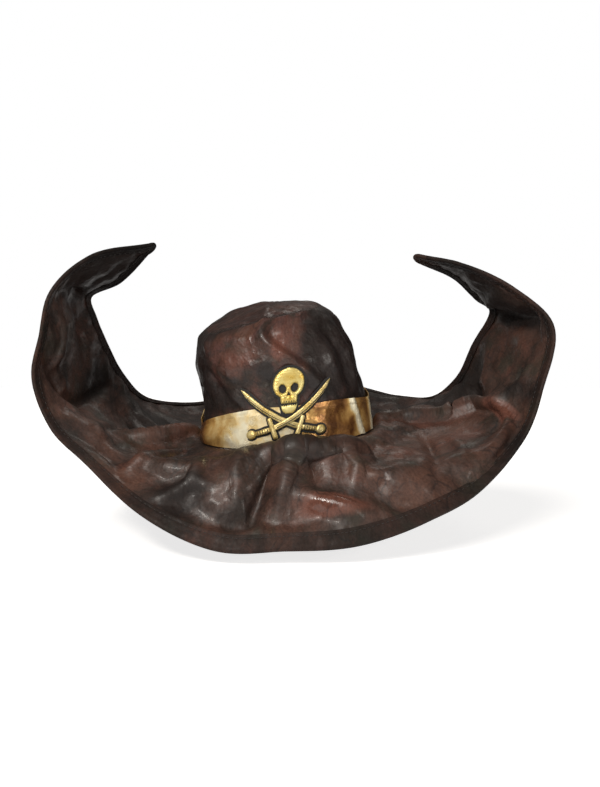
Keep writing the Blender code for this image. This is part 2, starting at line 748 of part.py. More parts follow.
def skull_holes():
    """Two eye sockets and the nose."""
    holes = []
    for side in (-1, 1):
        x = SKULL_X + side * EYE_SIDE
        holes.append(oval(x, SKULL_H - EYE_DROP, EYE_RADIUS, EYE_RADIUS * EYE_STRETCH))
    holes.append([
        (SKULL_X, SKULL_H - NOSE_TOP_DROP),
        (SKULL_X + NOSE_HALF, SKULL_H - NOSE_LOW_DROP),
        (SKULL_X - NOSE_HALF, SKULL_H - NOSE_LOW_DROP),
    ])
    return holes


def jaw_outline(grow):
    """The lower jaw: a cup with toothed upper edge."""
    top = SKULL_H - JAW_TOP_DROP + grow
    low = SKULL_H - JAW_LOW_DROP - grow
    half = JAW_HALF + grow
    side = [(half, top), (half * JAW_CORNER_SHARE, low + JAW_CORNER), (half * CHIN_SHARE, low)]
    outline = [(SKULL_X - x, h) for x, h in side]
    outline += [(SKULL_X + x, h) for x, h in side[::-1]]
    if grow:
        return outline
    shallow, deep = JAW_TOOTH_NOTCHES
    for k in range(JAW_TEETH, -JAW_TEETH - 1, -1):
        notch = deep if k % 2 else shallow
        outline.append((SKULL_X + half * JAW_TOOTH_SHARE * k / JAW_TEETH, top - notch))
    return outline


def cutlass_outline(grow, mirrored):
    """A curved blade with its guard, grip and pommel."""
    tip, pommel = Vector(CUTLASS_TIP), Vector(CUTLASS_POMMEL)
    chord = pommel - tip
    way = chord.normalized()
    left = Vector((-way.y, way.x))
    length = CUTLASS_PROFILE[-1][0] * MM
    scale = chord.length / length

    def centre(s):
        share = s / length
        return tip + chord * share - left * CUTLASS_SAG * 4 * share * (1 - share)

    def place(s, half):
        ahead = (centre(s + MM) - centre(s - MM)).normalized()
        normal = Vector((-ahead.y, ahead.x))
        reach_past = 0.0
        if grow and s <= 0:
            reach_past = -grow
        if grow and s >= length:
            reach_past = grow
        at = centre(s) + normal * half + ahead * reach_past
        return (-at.x, at.y) if mirrored else (at.x, at.y)

    sides = [[], []]
    for i, (s, half) in enumerate(CUTLASS_PROFILE):
        wider = half * MM * scale + grow
        along = s * MM
        if grow and half > 10:
            along += grow if CUTLASS_PROFILE[i + 1][1] < half else -grow
        if grow and half < 4 and 60 < s < 80:
            along += grow if s > 76 else -grow
        sides[0].append(place(along, -wider))
        sides[1].append(place(along, wider))
    outline = sides[0] + sides[1][::-1]
    return outline[::-1] if mirrored else outline


def flat_plate(name, outlines, where):
    """A flat plate from a 2D curve, as a mesh: its height is x, h and its thickness is z."""
    curve = bpy.data.curves.new(name, "CURVE")
    curve.dimensions = "2D"
    curve.fill_mode = "BOTH"
    curve.extrude = EMBLEM_THICKNESS / 2
    for outline in outlines:
        line = curve.splines.new("POLY")
        line.points.add(len(outline) - 1)
        for knot, (x, h) in zip(line.points, outline):
            knot.co = (x, h, 0.0, 1.0)
        line.use_cyclic_u = True
    drawn = bpy.data.objects.new(name + "_drawing", curve)
    where.objects.link(drawn)
    bpy.context.view_layer.update()
    evaluated = drawn.evaluated_get(bpy.context.evaluated_depsgraph_get())
    mesh = bpy.data.meshes.new_from_object(evaluated)
    bpy.data.objects.remove(drawn, do_unlink=True)
    shape = bmesh.new()
    shape.from_mesh(mesh)
    bmesh.ops.remove_doubles(shape, verts=shape.verts, dist=0.00001)
    shape.to_mesh(mesh)
    shape.free()
    return mesh


def joined_plate(name, outline_list, where, cutters):
    """One plate that is the union of several overlapping outlines."""
    base = bpy.data.objects.new(name + "_base", flat_plate(name, [outline_list[0]], where))
    cutters.objects.link(base)
    base.hide_render = True
    for k, outline in enumerate(outline_list[1:]):
        other = bpy.data.objects.new(f"{name}_more_{k}", flat_plate(name, [outline], where))
        cutters.objects.link(other)
        other.hide_render = True
        other.display_type = "WIRE"
        union = base.modifiers.new(f"join_{k}", "BOOLEAN")
        union.operation = "UNION"
        union.object = other
    bpy.context.view_layer.update()
    evaluated = base.evaluated_get(bpy.context.evaluated_depsgraph_get())
    mesh = bpy.data.meshes.new_from_object(evaluated)
    for item in list(cutters.objects):
        bpy.data.objects.remove(item, do_unlink=True)
    return mesh


def bend_on_crown(name, mesh, level, look, where):
    """Slices a flat plate and bends it on to the front of the crown, at its level outward."""
    shape = bmesh.new()
    shape.from_mesh(mesh)
    across, high = EMBLEM_REACH
    for axis, first, last, step in (
        ((1, 0, 0), -across, across, EMBLEM_SLICE),
        ((0, 1, 0), 0.0, high, 2 * EMBLEM_SLICE),
    ):
        at = first
        while at <= last:
            everything = shape.verts[:] + shape.edges[:] + shape.faces[:]
            cut = Vector(axis) * (at + SLICE_SHIFT)
            bmesh.ops.bisect_plane(shape, geom=everything, dist=0.000001, plane_co=cut, plane_no=axis)
            at += step
    bmesh.ops.remove_doubles(shape, verts=shape.verts, dist=0.00002)
    for vertex in shape.verts:
        x, h, depth = vertex.co
        out = EMBLEM_FIRST + level * EMBLEM_STEP + EMBLEM_THICKNESS / 2 + depth
        lean = ring_values(h / CROWN_SLANT)[0]
        turn = -math.pi / 2 + (x - lean) / OPENING[0]
        vertex.co = Vector(crown_point(turn, h / CROWN_SLANT, out))
    bmesh.ops.recalc_face_normals(shape, faces=shape.faces)
    if shape.calc_volume(signed=True) < 0:
        bmesh.ops.reverse_faces(shape, faces=shape.faces)
    bent_mesh = bpy.data.meshes.new(name)
    shape.to_mesh(bent_mesh)
    shape.free()
    bent_mesh.materials.clear()
    bent_mesh.materials.append(look)
    made = bpy.data.objects.new(name, bent_mesh)
    where.objects.link(made)
    bent_mesh.shade_smooth()
    bent_mesh.set_sharp_from_angle(angle=math.radians(40))
    return made


def emblem(where, cutters):
    """Skull, jaw and two crossed cutlasses on a black felt backing."""
    border = BACKING_BORDER
    outlines = [
        skull_outline(border),
        jaw_outline(border),
        cutlass_outline(border, False),
        cutlass_outline(border, True),
    ]
    backing = joined_plate("emblem_backing", outlines, where, cutters)
    bend_on_crown("emblem_backing", backing, 0, felt(), where)
    gold = gold_applique()
    skull = flat_plate("emblem_skull", [skull_outline(0.0)] + skull_holes(), where)
    bend_on_crown("emblem_skull", skull, 1, gold, where)
    jaw = flat_plate("emblem_jaw", [jaw_outline(0.0)], where)
    bend_on_crown("emblem_jaw", jaw, 1, gold, where)
    for level, (name, mirrored) in enumerate((("left", False), ("right", True)), start=1):
        blade = flat_plate("cutlass", [cutlass_outline(0.0, mirrored)], where)
        bend_on_crown(f"emblem_cutlass_{name}", blade, level, gold, where)


# ---- putting the hat together ----


def centre_brim(where):
    """The brim between the two shoulder creases."""
    start = KNOTS[LEFT_SHOULDER] + CREASE_GAP / 2
    end = KNOTS[RIGHT_SHOULDER] - CREASE_GAP / 2
    brim_centre_layer("brim_upper", leather(), where, 1, start, end)
    brim_centre_layer("brim_under", leather(), where, -1, start, end)
    front, front_out = edge_run(start, end, -1)
    back, back_out = edge_run(end, start, 1)
    casing("brim_casing_front", casing_leather(), where, front, front_out, False)
    casing("brim_casing_back", casing_leather(), where, back, back_out, False)
    wire("brim_wire_front", spring_steel(), where, front, front_out)
    wire("brim_wire_back", spring_steel(), where, back, back_out)
    wire_sleeve(spring_steel(), where, back, back_out)


def horn(where, side, shoulder, crease, tip):
    """One turned-up side of the brim: its arm and its folded-in tip."""
    way = 1 if tip > shoulder else -1
    arm_start, arm_end = shoulder + way * CREASE_GAP / 2, crease - way * CREASE_GAP / 2
    tip_start = crease + way * CREASE_GAP / 2
    for layer, rise in (("upper", 1), ("under", -1)):
        brim_arm_layer(f"{side}_arm_{layer}", leather(), where, rise, arm_start, arm_end)
        brim_tip_layer(f"{side}_tip_{layer}", leather(), where, rise, tip_start, tip)
    for edge, edge_side in (("front", -1), ("back", 1)):
        points, outward = edge_run(arm_start, arm_end, edge_side)
        flip = (edge_side < 0) != (way > 0)
        casing(f"{side}_arm_casing_{edge}", casing_leather(), where, points, outward, flip)
        wire(f"{side}_arm_wire_{edge}", spring_steel(), where, points, outward)
    points, outward, _ = tip_run(tip_start, tip)
    casing(f"{side}_tip_casing", casing_leather(), where, points, outward, way < 0)
    wire(f"{side}_tip_wire", spring_steel(), where, points, outward)


def build():
    """Makes every piece of the hat."""
    clear_scene()
    hat = collection("pirate_hat")
    cutters = collection("cutters")
    crown_side(leather(), hat)
    crown_tip(leather(), hat)
    crown_lining_side(lining_cloth(), hat)
    crown_lining_tip(lining_cloth(), hat)
    sweatband(sweatband_cloth(), hat)
    hat_band(gold_cloth(), hat)
    emblem(hat, cutters)
    centre_brim(hat)
    horn(hat, "left", KNOTS[LEFT_SHOULDER], KNOTS[LEFT_CREASE], KNOTS[0])
    horn(hat, "right", KNOTS[RIGHT_SHOULDER], KNOTS[RIGHT_CREASE], KNOTS[-1])


build()
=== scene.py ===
"""Looks of the pirate hat: cloth, leather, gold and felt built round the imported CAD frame.

The brim is one flat pattern: a runs along its length, b across it. Its stations are those of
part.py, and smooth_place bends a flat point into place. The crown is drawn by its turn and by its
share of the side's height. Lengths are in metres unless a name says otherwise.
"""

import json
import math

import bpy
import numpy as np
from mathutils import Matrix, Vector, noise
from mathutils.geometry import delaunay_2d_cdt


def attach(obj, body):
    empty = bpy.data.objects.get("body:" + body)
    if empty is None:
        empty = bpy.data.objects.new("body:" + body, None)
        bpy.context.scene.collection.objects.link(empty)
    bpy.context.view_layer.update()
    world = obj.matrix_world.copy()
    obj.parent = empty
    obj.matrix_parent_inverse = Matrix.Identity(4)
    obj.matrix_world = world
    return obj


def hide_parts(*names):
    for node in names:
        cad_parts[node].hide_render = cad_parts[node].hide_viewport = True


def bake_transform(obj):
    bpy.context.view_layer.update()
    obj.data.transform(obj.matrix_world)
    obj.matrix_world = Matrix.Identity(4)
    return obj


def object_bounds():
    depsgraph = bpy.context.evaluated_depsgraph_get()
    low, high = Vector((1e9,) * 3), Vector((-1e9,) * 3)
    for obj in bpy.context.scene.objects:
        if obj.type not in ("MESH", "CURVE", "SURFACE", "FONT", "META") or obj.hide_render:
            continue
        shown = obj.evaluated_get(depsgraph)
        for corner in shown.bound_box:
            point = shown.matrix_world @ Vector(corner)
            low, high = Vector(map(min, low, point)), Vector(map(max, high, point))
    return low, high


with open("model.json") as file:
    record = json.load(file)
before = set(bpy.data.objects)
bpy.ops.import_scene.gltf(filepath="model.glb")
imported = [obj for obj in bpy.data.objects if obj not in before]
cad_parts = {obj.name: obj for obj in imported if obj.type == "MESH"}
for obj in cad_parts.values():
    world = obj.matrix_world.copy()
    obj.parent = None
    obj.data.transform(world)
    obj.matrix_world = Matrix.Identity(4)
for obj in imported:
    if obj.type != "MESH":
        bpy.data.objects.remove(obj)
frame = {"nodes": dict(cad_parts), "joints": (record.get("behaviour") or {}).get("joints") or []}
cad_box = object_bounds()

MM = 0.001

# ---- the brim's pattern, as in part.py ----

BRIM_STATIONS = (
    ((-15.4, 2.9, 20.9), (-15.6, 3.7, 20.3), (-15.8, 4.5, 19.7), 0.0),
    ((-21.6, -1.6, 19.8), (-20.3, 2.2, 18.3), (-18.9, 6.0, 16.5), 0.0),
    ((-25.9, -3.0, 15.6), (-24.35, 2.0, 15.2), (-22.5, 7.0, 14.6), 0.0),
    ((-26.8, -3.6, 11.4), (-24.4, 2.5, 11.8), (-22.1, 8.6, 12.2), 0.0),
    ((-27.5, -5.0, 6.9), (-24.2, 3.0, 7.6), (-20.9, 11.0, 8.3), 0.0),
    ((-25.2, -8.0, 2.0), (-22.4, 2.0, 3.6), (-19.6, 13.6, 4.9), 0.1),
    ((-20.8, -12.5, -1.1), (-18.9, 0.8, 0.9), (-17.4, 17.0, 1.7), 0.35),
    ((-15.3, -17.0, -5.0), (-14.2, 0.0, -0.4), (-13.4, 21.0, 0.3), 0.7),
    ((-8.0, -20.2, -8.0), (-8.0, 0.0, -0.6), (-7.6, 23.4, 0.4), 1.0),
    ((0.0, -20.6, -8.2), (0.0, 0.0, 0.0), (0.0, 24.0, 0.8), 1.0),
    ((8.0, -20.0, -7.6), (8.0, 0.0, 0.6), (7.6, 23.4, 2.1), 1.0),
    ((14.8, -17.0, -5.8), (14.2, 0.0, 1.1), (13.3, 21.2, 1.2), 0.7),
    ((20.5, -12.5, -3.6), (19.0, 0.8, 1.6), (17.5, 17.0, 1.7), 0.35),
    ((25.2, -8.0, 0.5), (22.7, 2.5, 2.6), (19.9, 13.0, 4.4), 0.1),
    ((27.7, -5.0, 5.8), (24.65, 2.8, 7.3), (21.6, 10.6, 8.8), 0.0),
    ((28.7, -3.6, 12.9), (26.2, 1.8, 13.0), (23.2, 7.2, 13.2), 0.0),
    ((24.6, -2.4, 16.5), (23.0, 1.7, 15.6), (21.4, 5.8, 14.6), 0.0),
    ((19.0, 0.0, 19.0), (18.8, 2.2, 18.1), (18.6, 4.6, 17.2), 0.0),
    ((14.9, 2.6, 19.7), (15.0, 3.4, 19.2), (15.1, 4.2, 18.7), 0.0),
)
MIDDLE = 9
CROWN_HOLD = 95 * MM
LEAST_REACH = 40 * MM
HEM_WIDTH = 8 * MM
EDGE_ALLOWANCE = 4.5 * MM  # the cloth layers end this far inside the finished edge
OPENING = (94 * MM, 105 * MM)

# Parts of the brim along a: the hat carries the middle, then an arm and a tip on each side.
CENTRE_END = 0.200
ARM_END = 0.335
SHOULDERS = {"left": (-0.252, -0.312), "right": (0.252, 0.312)}
CREASES = {"left": (-0.348, -0.371), "right": (0.342, 0.362)}

EDGE_COLUMNS = 74
ACROSS = 30
RINGS = 19
RING_SPREAD = 0.95
HORN_COLUMNS = 40
END_COLUMNS, END_TURN_STEP = 4, 22  # columns that round off a horn's end, and degrees between them
CALM_WIDTH = 22 * MM  # the leather is smooth this far from its two taut folds
CALM_SHARE = 0.85
FOLD_PASS = 0.7  # share of each fold's height that is there before the cloth settles, and after
LUMP_MIDDLE = 0.45  # the middle of crumple's values


def unit(vectors):
    """Each row at length one."""
    return vectors / np.maximum(np.linalg.norm(vectors, axis=1)[:, None], 1e-12)


def station_table():
    """Knots along the brim, the station values and their slopes."""
    values = np.array([[*f, *m, *k] for f, m, k, _ in BRIM_STATIONS]) / 100
    for edge in (values[:, :3], values[:, 6:9]):
        edge -= EDGE_ALLOWANCE * unit(edge - values[:, 3:6])
    values = np.hstack([values, [[s[3]] for s in BRIM_STATIONS]])
    spans = np.linalg.norm(np.diff(values[:, 3:6], axis=0), axis=1)
    knots = np.concatenate([[0.0], np.cumsum(spans)])
    rises = np.diff(values, axis=0) / spans[:, None]
    before, after = spans[:-1, None], spans[1:, None]
    inner = (rises[:-1] * after + rises[1:] * before) / (before + after)
    slopes = np.vstack([rises[:1], inner, rises[-1:]])
    return knots - knots[MIDDLE], spans, values, slopes


KNOTS, SPANS, VALUES, SLOPES = station_table()


def stations_at(a):
    """Front edge, middle, back edge and crown hold of the brim at each a."""
    inside = np.clip(a, KNOTS[0], KNOTS[-1])
    i = np.clip(np.searchsorted(KNOTS, inside) - 1, 0, len(KNOTS) - 2)
    span = SPANS[i][:, None]
    t = (inside - KNOTS[i])[:, None] / span
    read = VALUES[i] * (1 + 2 * t) * (1 - t) ** 2 + SLOPES[i] * span * t * (1 - t) ** 2
    read = read + VALUES[i + 1] * t * t * (3 - 2 * t) + SLOPES[i + 1] * span * t * t * (t - 1)
    end_slope = np.where((a > 0)[:, None], SLOPES[-1, 3:6], SLOPES[0, 3:6])
    past = (a - inside)[:, None] * end_slope
    return read[:, :3] + past, read[:, 3:6] + past, read[:, 6:9] + past, read[:, 9:]


def reaches(a):
    """How far the brim reaches to the front and to the back at each a."""
    front, middle, back, _ = stations_at(a)
    return np.linalg.norm(front - middle, axis=1), np.linalg.norm(back - middle, axis=1)


def smooth_place(a, b):
    """The bent places of flat points, without folds."""
    front, middle, back, hold = stations_at(a)
    to_front = np.linalg.norm(front - middle, axis=1)[:, None]
    to_back = np.linalg.norm(back - middle, axis=1)[:, None]
    across = (back - front) / np.linalg.norm(back - front, axis=1)[:, None]
    across = across * (1 - hold) + np.array([0.0, 1.0, 0.0]) * hold
    across /= np.linalg.norm(across, axis=1)[:, None]
    flat = CROWN_HOLD * hold
    droop = (front - middle + to_front * across) / np.maximum(to_front - flat, LEAST_REACH) ** 2
    lift = (back - middle - to_back * across) / np.maximum(to_back - flat, LEAST_REACH) ** 2
    b = b[:, None]
    place = middle + b * across
    place = place + droop * np.maximum(0.0, -b - flat) ** 2
    return place + lift * np.maximum(0.0, b - flat) ** 2


def smooth_normal(a, b):
    """The brim's upward normals, without folds."""
    along = smooth_place(a + MM, b) - smooth_place(a - MM, b)
    across = smooth_place(a, b + MM) - smooth_place(a, b - MM)
    return unit(np.cross(along, across))


# ---- folds ----

# Folds of the brim: path of (a, b) in centimetres of the flat pattern, height in millimetres and
# half width in centimetres.
CREST = ((9.8, 1.0), (13.0, 2.1), (18.0, 2.6), (22.4, 0.8), (25.2, -2.9))
FRONT_ROLL = ((-3.2, -12.1), (-0.8, -12.4), (1.2, -12.6), (4.0, -12.8))
FRONT_DENT = (
    (-13.0, -17.5), (-9.7, -19.0), (-7.0, -20.3), (-3.9, -19.4), (-3.0, -17.5), (-0.8, -11.6),
)
BRIM_FOLDS = (
    # right of the crown: the long crest, the edge where it turns down, and what lies round them
    (CREST, 19, 0.6),
    (((9.5, -1.0), (13.0, 0.0), (18.0, 0.3), (22.5, -2.0)), 4, 2.5),
    (((25.2, -2.9), (23.6, -6.3), (21.0, -9.9), (18.0, -13.5)), 10, 0.6),
    (((9.8, 5.6), (14.0, 6.4), (19.0, 6.0), (23.0, 4.0)), -16, 1.2),
    (((21.0, -4.6), (22.2, -6.8)), -6, 0.8),
    (((15.3, -3.0), (15.8, -9.0), (15.2, -15.0)), -7, 0.5),
    (((12.0, -7.0), (12.5, -11.0), (11.5, -16.0)), 4, 1.4),
    (((11.0, -18.3), (14.5, -17.0), (17.5, -15.5)), -6, 0.6),
    (((17.5, -3.5), (18.3, -8.0), (17.8, -12.0)), 5, 0.6),
    # front
    (((1.5, -12.6), (3.2, -12.6), (5.0, -12.1), (8.6, -9.9)), 10, 1.4),
    (((-2.5, -14.6), (2.0, -15.0), (6.5, -13.8)), 6, 3.0),
    (FRONT_ROLL, 16, 1.7),
    (((1.6, -17.4), (4.8, -18.8), (8.4, -19.8)), 11, 0.8),
    (((2.4, -13.4), (3.0, -15.0), (3.2, -16.4)), -9, 0.7),
    (((0.4, -14.2), (0.0, -16.0), (-0.8, -18.2)), 9, 0.9),
    (((6.6, -12.6), (7.5, -14.5), (7.5, -16.8)), 8, 0.9),
    (((8.6, -8.5), (10.2, -11.5)), -6, 0.7),
    (((-4.6, -11.5), (-5.2, -14.5), (-5.0, -17.0)), 6, 1.1),
    # left of the crown
    (((-9.8, 2.5), (-12.0, 0.3), (-15.5, -1.8), (-19.0, -3.0)), 18, 0.7),
    (((-19.0, 6.5), (-15.5, 4.8), (-12.0, 6.0)), -12, 1.5),
    (((-10.5, -2.5), (-14.0, -4.5), (-17.5, -6.0)), -7, 0.8),
    (((-15.8, -12.0), (-13.7, -8.6), (-11.5, -6.0)), 11, 0.8),
    (((-12.8, -16.3), (-9.6, -14.6), (-9.0, -11.8)), 9, 0.7),
    (((-13.0, -13.0), (-11.2, -10.6)), 7, 2.2),
    (FRONT_DENT, -10, 0.7),
    (((-20.5, -8.0), (-17.5, -10.5), (-16.0, -14.5)), -7, 0.8),
    (((-20.0, 1.0), (-21.0, -4.5), (-19.5, -9.5)), 7, 0.9),
    # arms and tips
    (((-29.0, -5.0), (-25.5, -3.5), (-24.2, -1.0), (-24.0, 2.0), (-24.2, 6.5)), -11, 0.8),
    (((-28.6, -4.6), (-30.5, -3.0), (-33.5, -2.2)), 7, 0.6),
    (((-27.0, 2.0), (-31.0, 3.0), (-34.5, 1.5)), -5, 0.8),
    (((-36.0, 3.0), (-37.0, 0.5), (-36.0, -2.5)), -6, 0.5),
    (((-38.0, 1.5), (-41.0, 0.8), (-44.0, 0.2)), -4, 0.8),
    (((27.0, -3.0), (29.0, -3.4)), -7, 0.8),
    (((29.2, 4.0), (31.5, 1.0), (33.0, -2.0)), 5, 0.8),
    (((34.5, 5.0), (34.2, 1.0), (34.6, -3.5)), -8, 0.6),
    (((36.5, 4.5), (38.0, 1.0), (38.5, -1.5)), 7, 0.6),
    (((24.0, 7.5), (26.0, 3.0), (25.5, -1.0)), 6, 1.0),
)

# Patches of dye, painted shade and painted highlights: centre and half sizes in centimetres of the
# flat pattern, then the tone, from -1 for black to 1 for worn red. The dark patches in hollows,
# valleys and over the back of the brim are painted shade, and the light patches on crests and ridges
# are painted highlights.
BRIM_PATCHES = (
    # painted shade on the left tip, whose leaf faces down away from the lamps
    ((-41.0, 0.5), (6.5, 5.0), -1.0),
    ((-31.0, 2.5), (5.5, 5.0), -0.2),
    # painted highlight at the bright spot on the left arm's crease
    ((-33.8, -1.0), (1.8, 2.0), 0.75),
    ((-28.0, -4.5), (3.5, 2.5), -0.3),
    # painted shade in the valley at the left arm's shoulder
    ((-25.0, 4.0), (3.0, 4.0), -0.5),
    ((-21.0, 7.0), (2.4, 3.0), 0.1),
    ((-22.5, -8.5), (2.0, 2.2), -0.4),
    ((-20.5, -1.0), (3.0, 4.0), -0.1),
    ((-17.0, -11.5), (3.0, 2.5), 0.3),
    ((-13.5, -16.0), (3.0, 1.8), -0.25),
    ((-10.0, -9.5), (3.0, 2.4), -0.25),
    # painted highlight along the crest left of the crown
    ((-12.0, 0.5), (3.5, 3.0), 0.35),
    # painted shade over a spot whose facing catches the lamps
    ((-10.0, -16.0), (3.4, 2.8), -0.6),
    ((-4.0, -18.5), (3.5, 1.8), -0.35),
    ((-3.0, -13.5), (2.4, 2.0), 0.25),
    ((1.5, -12.8), (3.0, 1.8), -0.45),
    ((1.0, -16.5), (1.6, 2.4), -0.25),
    # painted highlight, with polish, where the front ridge glints
    ((4.8, -18.7), (3.4, 1.0), 1.7),
    ((7.0, -14.0), (2.6, 2.2), 0.15),
    ((12.0, -9.0), (2.5, 3.0), 0.5),
    ((13.0, -15.0), (3.0, 2.0), 0.1),
    # painted highlight along the top of the right crest
    ((16.5, 0.9), (6.5, 1.5), 0.5),
    ((18.5, -4.5), (3.2, 3.0), 0.5),
    # painted highlight, with polish, at the corner where the right crest turns down
    ((24.3, -4.4), (1.1, 2.6), 1.5),
    # these two: painted shade on the strip beyond the right crest's turned-down edge
    ((23.0, -11.0), (1.6, 3.5), -0.5),
    ((27.5, -6.0), (1.6, 3.5), -0.5),
    # these two: painted shade in the hollow behind the right crest
    ((16.0, 7.4), (10.0, 4.4), -1.1),
    ((17.5, 4.7), (7.5, 1.6), -1.1),
    # painted shade in the hollow behind the left crest
    ((-15.0, 8.5), (6.0, 4.0), -0.9),
    # painted shade over the back of the brim
    ((0.0, 18.0), (16.0, 7.0), -0.7),
    ((29.5, 1.0), (4.0, 6.0), 0.05),
    ((31.0, -1.5), (1.8, 1.8), 0.3),
    # painted shade in the crease across the right arm
    ((34.5, 1.0), (2.0, 6.0), -0.8),
    ((41.0, 1.0), (6.0, 4.5), -0.75),
)


def patch_tone(x, y, patches):
    """Tone at each place, from dye, painted shade and painted highlights; above 1 it is polished as
    well.
    """
    tone = np.zeros(len(x))
    for (at_x, at_y), (wide, high), value in patches:
        far = np.hypot((x - at_x) / wide, (y - at_y) / high)
        tone += value * np.exp(-far ** 3)
    return np.clip(tone, -1, 1.5)


def brim_tone(flat):
    """Tone of the brim at flat places: dye, painted shade and painted highlights."""
    return patch_tone(flat[:, 0] * 100, flat[:, 1] * 100, BRIM_PATCHES)


def path_distance(a, b, path):
    """Distance from flat points to a path, and the share of the path at the nearest place."""
    path = np.array(path) / 100
    lengths = np.linalg.norm(np.diff(path, axis=0), axis=1)
    best = np.full(len(a), 9.0)
    share = np.zeros(len(a))
    done = 0.0
    for start, end, length in zip(path[:-1], path[1:], lengths):
        way = (end - start) / length
        t = np.clip((a - start[0]) * way[0] + (b - start[1]) * way[1], 0, length)
        gap = np.hypot(a - start[0] - t * way[0], b - start[1] - t * way[1])
        nearer = gap < best
        best = np.where(nearer, gap, best)
        share = np.where(nearer, (done + t) / lengths.sum(), share)
        done += length
    return best, share


def edge_gap(a, b):
    """Distance from the brim's outer edge, measured across it."""
    front, back = reaches(a)
    return np.minimum(b + front, back - b)


def seam_share(a, b):
    """Nothing at the crown seam, growing to 1 a little way out."""
    return np.clip((np.hypot(a / OPENING[0], b / OPENING[1]) - 1.01) / 0.09, 0, 1)


def fold_rise(a, b):
    """Rise of the folds above the smooth brim."""
    rise = np.zeros(len(a))
    for path, height, width in BRIM_FOLDS:
        gap, share = path_distance(a, b, path)
        taper = 0.35 + 0.65 * np.sin(np.pi * np.clip(share, 0.02, 0.98)) ** 0.7
        far = np.hypot(gap / (width / 100), 0.2) - 0.2
        rise += height * MM * taper * np.exp(-far)
    away = np.clip((edge_gap(a, b) - HEM_WIDTH) / 0.018, 0, 1)
    return rise * away * away * (3 - 2 * away) * seam_share(a, b)


NOISE_WAYS = (Vector((9.3, 1.5, 7.9)), Vector((0.0, 0.0, 0.0)), Vector((6.3, 4.7, 2.1)))


def crumple(places, scale, shift):
    """Facets like those of crumpled leather: between 0 and about 1 at each place."""
    out = np.empty(len(places))
    for i, p in enumerate(places):
        at = Vector(p) * scale
        bend = at * 0.7 + Vector((shift, 0, 0))
        at += 0.35 * Vector([noise.noise(bend + way) for way in NOISE_WAYS])
        out[i] = noise.voronoi(at + Vector((0, shift, 0)))[0][0]
    return out


def lumps(places, scale, shift):
    """Crumpled facets above and below nothing."""
    return crumple(places, scale, shift) - LUMP_MIDDLE


def soft_noise(places, scale, shift):
    """Smooth noise from about -1 to 1."""
    return np.array([noise.noise(Vector(p) * scale + Vector((shift, shift, 0))) for p in places])


# ---- meshes ----


def vertex_normals(points, faces):
    """Smooth normals of a mesh of quads and triangles."""
    total = np.zeros_like(points)
    for size in (3, 4):
        some = np.array([f for f in faces if len(f) == size])
        if not len(some):
            continue
        p = points[some]
        if size == 3:
            weight = np.cross(p[:, 1] - p[:, 0], p[:, 2] - p[:, 0])
        else:
            weight = np.cross(p[:, 2] - p[:, 0], p[:, 3] - p[:, 1])
        for k in range(size):
            np.add.at(total, some[:, k], weight)
    return unit(total)


def open_border(faces):
    """Directed edges of the faces that have no face on their other side."""
    seen = {}
    for face in faces:
        for k, start in enumerate(face):
            seen[(start, face[(k + 1) % len(face)])] = True
    return [edge for edge in seen if (edge[1], edge[0]) not in seen]


def mesh_of(name, points, faces):
    """A mesh with its points and faces."""
    mesh = bpy.data.meshes.new(name)
    mesh.from_pydata(points.tolist(), [], [list(map(int, f)) for f in faces])
    return mesh


def linked(name, data):
    """A new object of the scene."""
    made = bpy.data.objects.new(name, data)
    bpy.context.scene.collection.objects.link(made)
    return made


def finished(name, points, faces, look, cloth=None, normals=None, tone=None):
    """A mesh object with the pattern place and tone of each point and its shading normals."""
    mesh = mesh_of(name, points, faces)
    mesh.materials.append(look)
    pattern = np.asarray(points if cloth is None else cloth, np.float32)
    place = mesh.attributes.new("cloth", "FLOAT_VECTOR", "POINT")
    place.data.foreach_set("vector", pattern.ravel())
    if tone is not None:
        shade = mesh.attributes.new("tone", "FLOAT", "POINT")
        shade.data.foreach_set("value", np.asarray(tone, np.float32))
    mesh.shade_smooth()
    if normals is None:
        mesh.set_sharp_from_angle(angle=math.radians(50))
    else:
        mesh.normals_split_custom_set([tuple(n) for n in normals])
    return linked(name, mesh)


def solid_sheet(name, points, normals, faces, low, high, look, cloth, tone=None):
    """A closed thin sheet between the rises low and high over a surface."""
    count = len(points)
    both = np.vstack([points + normals * high, points + normals * low])
    solid = [tuple(f) for f in faces] + [tuple(i + count for i in f[::-1]) for f in faces]
    shading = [normals[i] for f in faces for i in f]
    shading += [-normals[i] for f in faces for i in f[::-1]]
    for start, end in open_border(faces):
        rim = (end, start, start + count, end + count)
        solid.append(rim)
        p = both[list(rim)]
        way = np.cross(p[2] - p[0], p[3] - p[1])
        way /= max(np.linalg.norm(way), 1e-12)
        shading += [way] * 4
    tones = None if tone is None else np.concatenate([tone, tone])
    return finished(name, both, solid, look, np.vstack([cloth, cloth]), shading, tones)


def grid_faces(rows, columns, closed=False, first=0):
    """Quads of a grid stored row by row."""
    faces = []
    for r in range(rows - 1):
        for c in range(columns if closed else columns - 1):
            low, after = first + r * columns, (c + 1) % columns
            faces.append((low + c, low + after, low + columns + after, low + columns + c))
    return faces


def part_of(faces, mask):
    """The points that some faces use, and those faces renumbered."""
    chosen = [f for f, keep in zip(faces, mask) if keep]
    used = sorted({i for f in chosen for i in f})
    number = {old: new for new, old in enumerate(used)}
    return used, [tuple(number[i] for i in f) for f in chosen]


# ---- cloth ----

CLOTH_STIFFNESS, CLOTH_WEIGHT = 12.0, 0.3


